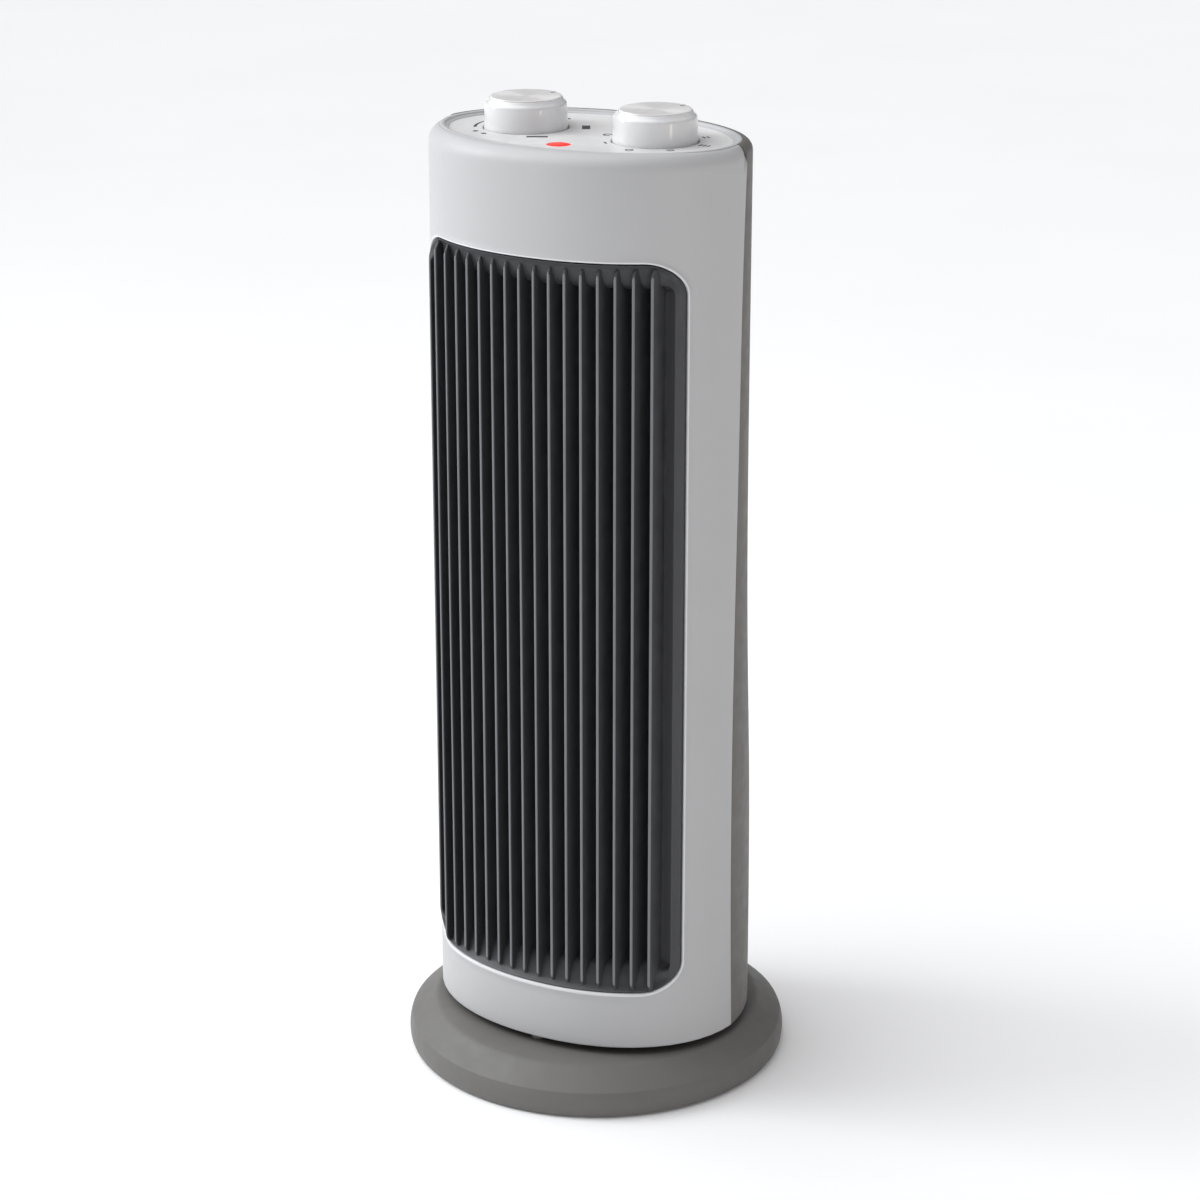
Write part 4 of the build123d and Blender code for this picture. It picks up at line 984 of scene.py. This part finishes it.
def make_panel():
    """Light grey panel: raised white border, wells for the knobs, hole for the lens."""
    border = [panel_ring(inset, BODY_TOP - drop) for inset, drop in BORDER]
    border[-1] = [(x, y, PANEL_FACE) for x, y, _ in border[-1]]
    wells = []
    for side in (-1, 1):
        well = [(26.5, PANEL_FACE), (26.1, PANEL_FACE - 0.08), (25.8, PANEL_FACE - 0.3)]
        well += [(KNOB_WELL_R, PANEL_FACE - 0.7), (KNOB_WELL_R, KNOB_WELL_FLOOR), (3.6, KNOB_WELL_FLOOR)]
        wells.append([circle(r, z, side * KNOB_X, KNOB_Y) for r, z in well])
    seat = ((LENS_R + 0.3, 0), (LENS_R + 0.1, 0.2), (LENS_R + 0.1, 1.5))
    lens = [circle(r, PANEL_FACE - drop, *LENS_AT, 48) for r, drop in seat]
    bm = bmesh.new()
    first_loops = []
    for rings, keep in ((border, -1), (wells[0], 0), (wells[1], 0), (lens, 0)):
        made = [[bm.verts.new([c * MM for c in p]) for p in ring] for ring in rings]
        for a, b in zip(made, made[1:]):
            for i in range(len(a)):
                k = (i + 1) % len(a)
                bm.faces.new((a[i], a[k], b[k], b[i]))
        first_loops.append(made[keep])
    fill_face(bm, first_loops)
    bmesh.ops.recalc_face_normals(bm, faces=bm.faces)
    mesh = bpy.data.meshes.new("control_panel_face")
    bm.to_mesh(mesh)
    bm.free()
    if max(mesh.polygons, key=lambda f: f.area).normal.z < 0:
        mesh.flip_normals()
    smooth(mesh, 38)
    piece = place_piece(mesh, "tower", "panel_grey", ["control_panel"])
    mesh.materials.append(FINISHES["white_casing"])
    edge_z = (PANEL_FACE + 0.15) * MM
    for face in mesh.polygons:
        if face.center.z > edge_z:
            face.material_index = 1
    thicken(piece, 1.6)


def prism(outline, bottom, top):
    """Flat shape with a little height."""
    return loft([[(x, y, bottom) for x, y in outline], [(x, y, top) for x, y in outline]], capped=True)


def stroke(points, width):
    """Outline of a line of constant width through plan points, with square ends."""
    left, right = [], []
    for i, (x, y) in enumerate(points):
        ax, ay = points[max(i - 1, 0)]
        bx, by = points[min(i + 1, len(points) - 1)]
        size = hypot(bx - ax, by - ay)
        nx, ny = -(by - ay) / size * width / 2, (bx - ax) / size * width / 2
        left.append((x + nx, y + ny))
        right.append((x - nx, y - ny))
    return left + right[::-1]


def arc_stroke(cx, cy, radius, start, end, width, steps=14):
    turns = [radians(start + (end - start) * i / steps) for i in range(steps + 1)]
    return stroke([(cx + radius * cos(t), cy + radius * sin(t)) for t in turns], width)


def dot(cx, cy, radius):
    return [(x, y) for x, y, _ in circle(radius, 0, cx, cy, 20)]


def make_markings():
    """Generic printed marks: settings round one dial, a widening arc round the other."""
    left, right = -KNOB_X, KNOB_X
    outlines = []
    # Thermostat: an arc that grows wider, then dots
    arc_r, steps = 30.0, 16
    grown = [(radians(blend(150, 212, i / steps)), blend(0.25, 1.0, i / steps)) for i in range(steps + 1)]
    outer = [(left + (arc_r + w) * cos(t), KNOB_Y + (arc_r + w) * sin(t)) for t, w in grown]
    inner = [(left + (arc_r - w) * cos(t), KNOB_Y + (arc_r - w) * sin(t)) for t, w in grown]
    outlines.append(outer + inner[::-1])
    for t, away, size in ((radians(236), 32.5, 1.7), (radians(252), 32.5, 1.7), (1.31, 34.5, 1.8)):
        outlines.append(dot(left + away * cos(t), KNOB_Y + away * sin(t), size))
    # Bar between the left knob and the lens, and a solid block behind it
    outlines.append(stroke([(-26.6, -34.5), (-15.8, -28.3)], 4.0))
    outlines.append(stroke([(-8.4, 3.0), (-14.0, 12.8)], 4.8))
    # Mode dial: a ring for off, an open ring for air, and settings of one to three ticks
    outlines.append(arc_stroke(right + 1.1, KNOB_Y - 32.4, 2.0, 0, 352, 1.2, 20))
    for turn, count in ((224, 1), (315, 2), (0, 3), (47, 2)):
        t = radians(turn)
        for i in range(count):
            away = 29.6 + 2.6 * i
            px, py = right + away * cos(t), KNOB_Y + away * sin(t)
            nx, ny = -sin(t), cos(t)
            half = 2.5 - 0.4 * i
            ends = [(px + nx * end, py + ny * end) for end in (-half, half)]
            outlines.append(stroke(ends, 1.2))
    outlines.append(arc_stroke(right - 32.0, KNOB_Y + 1.2, 2.4, 30, 330, 1.2))
    bottom, top = PANEL_FACE - 0.05, PANEL_FACE + 0.06
    shape = join([prism(outline, bottom, top) for outline in outlines])
    add_piece("panel_markings", shape, "tower", "panel_grey", material=MARKING_INK)


def make_knob(side, body, prefix):
    """Knob cap with a soft shoulder, and its spun disc."""
    x = side * KNOB_X
    skirt = [(22.3, 595.0), (22.3, 579.0), (22.6, 578.5), (24.3, 578.45), (24.7, 578.7), (24.8, 579.3)]
    skirt += [(24.72, 584.0), (24.52, 590.0), (24.36, 594.6)]
    shoulder = arc_points((21.8, 595.0), 2.5, 8, 60, 7)
    rim = [(22.1, 598.45), (21.9, 598.85), (21.65, 599.1), (21.4, 599.05), (21.3, 598.8), (21.3, 598.0)]
    closing = [(5.0, 598.0), (5.0, 597.0), (20.8, 596.4)]
    cap = turned(skirt + shoulder + rim + closing, x, KNOB_Y, 128)
    hub = turned([(3.1, 580.0), (5.5, 580.0), (5.5, 597.5), (3.1, 597.5)], x, KNOB_Y, 48)
    node = f"{prefix}_knob"
    add_piece(f"{node}_cap", join([cap, hub]), body, "white_knob", [node], 34)
    disc = [(21.15, 598.1), (21.2, 599.5), (21.05, 599.85), (20.75, 600.0), (19.6, 599.97), (10.0, 599.7)]
    disc += [(0.6, 599.5)]
    rings = [circle(r, z, x, KNOB_Y, 128) for r, z in disc]
    rings.insert(0, circle(0.6, 598.1, x, KNOB_Y, 128))
    add_piece(f"{node}_face", loft(rings, capped=True), body, "satin_metal", [f"{node}_disc"], 34)


def make_pointer(side, body, prefix, degrees):
    """Small dark tick let into the edge of a knob's disc."""
    turn = radians(degrees)
    x = side * KNOB_X
    ends = [(x + r * cos(turn), KNOB_Y + r * sin(turn)) for r in (17.2, 20.6)]
    tick = prism(stroke(ends, 1.5), 599.6, 600.0)
    add_piece(f"{prefix}_pointer", tick, body, "white_knob", material=MARKING_INK)


def make_lens():
    """Domed red lens in its seat."""
    top = PANEL_FACE + 0.35
    dome = [(LENS_R * cos(a), top - 0.55 + 0.55 * sin(a)) for a in (0.0, 0.35, 0.7, 1.05, 1.35)]
    profile = [(0.3, 577.7), (LENS_R + 1.4, 577.7), (LENS_R + 1.4, 579.1), (LENS_R, 579.2)] + dome
    rings = [circle(r, z, *LENS_AT, 64) for r, z in profile]
    add_piece("indicator_lens_cap", loft(rings, capped=True), "tower", "red_lens", ["indicator_lens"], 40)


# ---------------- base


def base_outline():
    """Half section of the base cover, from the foot over the rim to the spigot and back underneath."""
    foot_z = base_low[2]
    middle = (foot_z + BASE_RIM_Z) / 2
    wall = [(BASE_FOOT_R - 0.7, foot_z), (BASE_FOOT_R - 0.2, foot_z + 0.2), (BASE_FOOT_R, foot_z + 0.7)]
    for i in range(1, 9):
        z = blend(foot_z + 0.7, BASE_RIM_Z - 2.4, i / 8)
        bulge = 1 - ((z - middle) / (middle - foot_z)) ** 2
        lean = blend(BASE_FOOT_R, BASE_RIM_R, (z - foot_z) / (BASE_RIM_Z - foot_z))
        wall.append((lean + (BASE_WIDEST_R - (BASE_FOOT_R + BASE_RIM_R) / 2) * bulge, z))
    slope = atan2(BASE_DISC_Z - BASE_RIM_Z, BASE_RIM_R - BASE_DISC_R)
    ridge = arc_points((BASE_RIM_R - 1.55, BASE_RIM_Z - 1.45), 1.8, 8, degrees(pi / 2 - slope), 7)
    start, end = ridge[-1], (BASE_DISC_R + 3.2, BASE_DISC_Z - 2.3)
    ramp = [(blend(start[0], end[0], i / 5), blend(start[1], end[1], i / 5)) for i in range(1, 6)]
    plateau_edge = [(BASE_DISC_R + 1.9, BASE_DISC_Z - 1.35), (BASE_DISC_R + 0.7, BASE_DISC_Z - 0.55)]
    plateau_edge += [(BASE_DISC_R - 0.7, BASE_DISC_Z - 0.12), (BASE_DISC_R - 2.2, BASE_DISC_Z)]
    disc = [(r, BASE_DISC_Z) for r in (92.0, 75.0, 50.0, 30.0)]
    bore_r, spigot_r = SPIGOT_R
    spigot = [(spigot_r, BASE_DISC_Z), (spigot_r, SPIGOT_TOP - 0.5), (spigot_r - 0.5, SPIGOT_TOP)]
    spigot += [(bore_r, SPIGOT_TOP), (bore_r, BASE_DISC_Z - BASE_WALL)]
    under = [(60.0, BASE_DISC_Z - BASE_WALL), (BASE_DISC_R - 1.0, BASE_DISC_Z - BASE_WALL)]
    under += [(BASE_RIM_R - BASE_WALL - 0.6, BASE_RIM_Z - 1.9), (BASE_WIDEST_R - BASE_WALL, middle)]
    under += [(BASE_FOOT_R - BASE_WALL, foot_z)]
    return wall + ridge + ramp + plateau_edge + disc + spigot + under


def cut_with(piece, shape):
    """Cuts a closed shape out of a piece, and leaves only the resulting mesh."""
    cutter = new_object("cutter", new_mesh("cutter", shape))
    cut = piece.modifiers.new("cut", "BOOLEAN")
    cut.object = cutter
    cut.operation = "DIFFERENCE"
    cut.solver = "EXACT"
    bpy.context.view_layer.update()
    evaluated = piece.evaluated_get(bpy.context.evaluated_depsgraph_get())
    result = bpy.data.meshes.new_from_object(evaluated)
    piece.modifiers.remove(cut)
    piece.data = result
    bpy.data.objects.remove(cutter)


def make_base():
    cover = turned(base_outline(), count=160)
    piece = add_piece("base_body", cover, "base", "base_grey", ["base_cover"], 36)
    rings = []
    for y in (BASE_FOOT_R - 8, BASE_WIDEST_R + 3):
        rings.append([(INLET_HOLE_R * c, y, INLET_Z + INLET_HOLE_R * s) for c, s in around(40)])
    cut_with(piece, loft(rings, capped=True))
    smooth(piece.data, 36)


# ---------------- carried-over CAD nodes


def dress_cad_nodes():
    """Gives every carried-over CAD node the finish of its own slot."""
    slots = {part["node"]: part["material_slot"] for part in frame["record"]["subparts"]}
    for name, piece in frame["nodes"].items():
        piece.data.materials.clear()
        piece.data.materials.append(FINISHES[slots[name]])


# ---------------- stage, light and camera


FLOOR_R = 14.0  # metres


def make_floor():
    material, tree, place = start_material("studio_floor")
    clouds = noise(tree, place, 400, 3)
    base = mix_colour(tree, spread(tree, clouds, 0, 1), (0.93, 0.93, 0.93, 1), (0.95, 0.95, 0.95, 1))
    feed(tree, tree.nodes["Principled BSDF"], {
        "Base Color": base,
        "Emission Color": (1, 1, 1, 1),
        "Emission Strength": 0.05,
        "Roughness": 0.9,
        "Specular IOR Level": 0.1,
    })
    mesh = bpy.data.meshes.new("studio_floor")
    bm = bmesh.new()
    bmesh.ops.create_circle(bm, cap_ends=True, radius=FLOOR_R, segments=96)
    bm.to_mesh(mesh)
    bm.free()
    mesh.materials.append(material)
    floor = new_object("studio_floor", mesh)


def aim(thing, target):
    """Turns a light or a camera towards a point."""
    direction = Vector(target) - thing.location
    thing.rotation_mode = "QUATERNION"
    thing.rotation_quaternion = direction.to_track_quat("-Z", "Y")


def add_area(name, place, target, size, power, colour):
    data = bpy.data.lights.new(name, "AREA")
    data.shape = "RECTANGLE"
    data.size, data.size_y = size
    data.energy = power
    data.color = colour
    light = new_object(name, data)
    light.location = place
    aim(light, target)


def make_lights():
    scene = bpy.context.scene
    scene.view_settings.view_transform = "Standard"
    world = bpy.data.worlds.new("studio")
    scene.world = world
    world.use_nodes = True
    tree = world.node_tree
    direction = add_node(tree, "ShaderNodeTexCoord").outputs["Generated"]
    height = add_node(tree, "ShaderNodeSeparateXYZ", {0: direction}).outputs["Z"]
    ramp = add_node(tree, "ShaderNodeValToRGB", {"Fac": height})
    stops = ramp.color_ramp.elements
    stops[0].position, stops[0].color = 0.02, (0.90, 0.91, 0.92, 1)
    stops[1].position, stops[1].color = 1.0, (0.61, 0.61, 0.63, 1)
    low_sky = stops.new(0.11)
    low_sky.color = (0.10, 0.10, 0.10, 1)
    tree.links.new(ramp.outputs["Color"], tree.nodes["Background"].inputs["Color"])
    sun = bpy.data.lights.new("key_sun", "SUN")
    sun.energy = 1.93
    sun.angle = radians(75)
    sun.color = (0.98, 0.99, 1.0)
    key = new_object("key_sun", sun)
    key.location = (-2.0, -0.7, 3.2)
    aim(key, (0, 0, 0))
    centre = (0, 0, 0.32)
    add_area("left_softbox", (-1.4, -0.7, 1.5), (0, 0, 0.55), (0.8, 0.8), 11, (0.95, 0.98, 1.0))
    add_area("left_strip", (-1.6, -0.6, 0.95), (0, 0, 0.5), (0.35, 0.9), 6, (0.93, 0.97, 1.0))
    turn = radians(LAMP_AZIMUTH)
    lamp = (LAMP_AWAY * sin(turn), -LAMP_AWAY * cos(turn), 0.38)
    add_area("right_lamp", lamp, centre, (0.09, 0.6), 1.5, (1.0, 0.86, 0.74))


# Small upright lamp at the right: it picks out the front of each fin's side and makes the knobs glint
LAMP_AZIMUTH = 71.5
LAMP_AWAY = 1.7

# Camera, matched to the viewing angle: azimuth from straight ahead, tilt below the horizon
CAMERA_AZIMUTH = 29.908
CAMERA_TILT = 18.309
CAMERA_DISTANCE = 1.79777
CAMERA_ASIDE = 0.00237
CAMERA_HEIGHT = 0.9216
CAMERA_LENS = 93.28
CAMERA_SHIFT_Y = -0.045


def make_camera():
    azimuth, tilt = radians(CAMERA_AZIMUTH), radians(CAMERA_TILT)
    ahead = Vector((-sin(azimuth), cos(azimuth), 0))
    right = Vector((cos(azimuth), sin(azimuth), 0))
    data = bpy.data.cameras.new("camera")
    data.lens = CAMERA_LENS
    data.sensor_width = 36.0
    data.shift_y = CAMERA_SHIFT_Y
    data.clip_start, data.clip_end = 0.05, 60
    camera = new_object("camera", data)
    camera.location = -ahead * CAMERA_DISTANCE + right * CAMERA_ASIDE + Vector((0, 0, CAMERA_HEIGHT))
    look = ahead * cos(tilt) - Vector((0, 0, sin(tilt)))
    camera.rotation_mode = "QUATERNION"
    camera.rotation_quaternion = look.to_track_quat("-Z", "Y")
    bpy.context.scene.camera = camera


def main():
    dress_cad_nodes()
    make_front_casing()
    make_grille_frame()
    make_fins()
    make_rear_casing()
    make_screw_wells()
    make_panel()
    make_markings()
    make_knob(1, "mode_dial", "mode")
    make_knob(-1, "thermostat_dial", "thermostat")
    make_pointer(1, "mode_dial", "mode", 62)
    make_pointer(-1, "thermostat_dial", "thermostat", 62)
    make_lens()
    make_base()
    make_floor()
    make_lights()
    make_camera()


main()
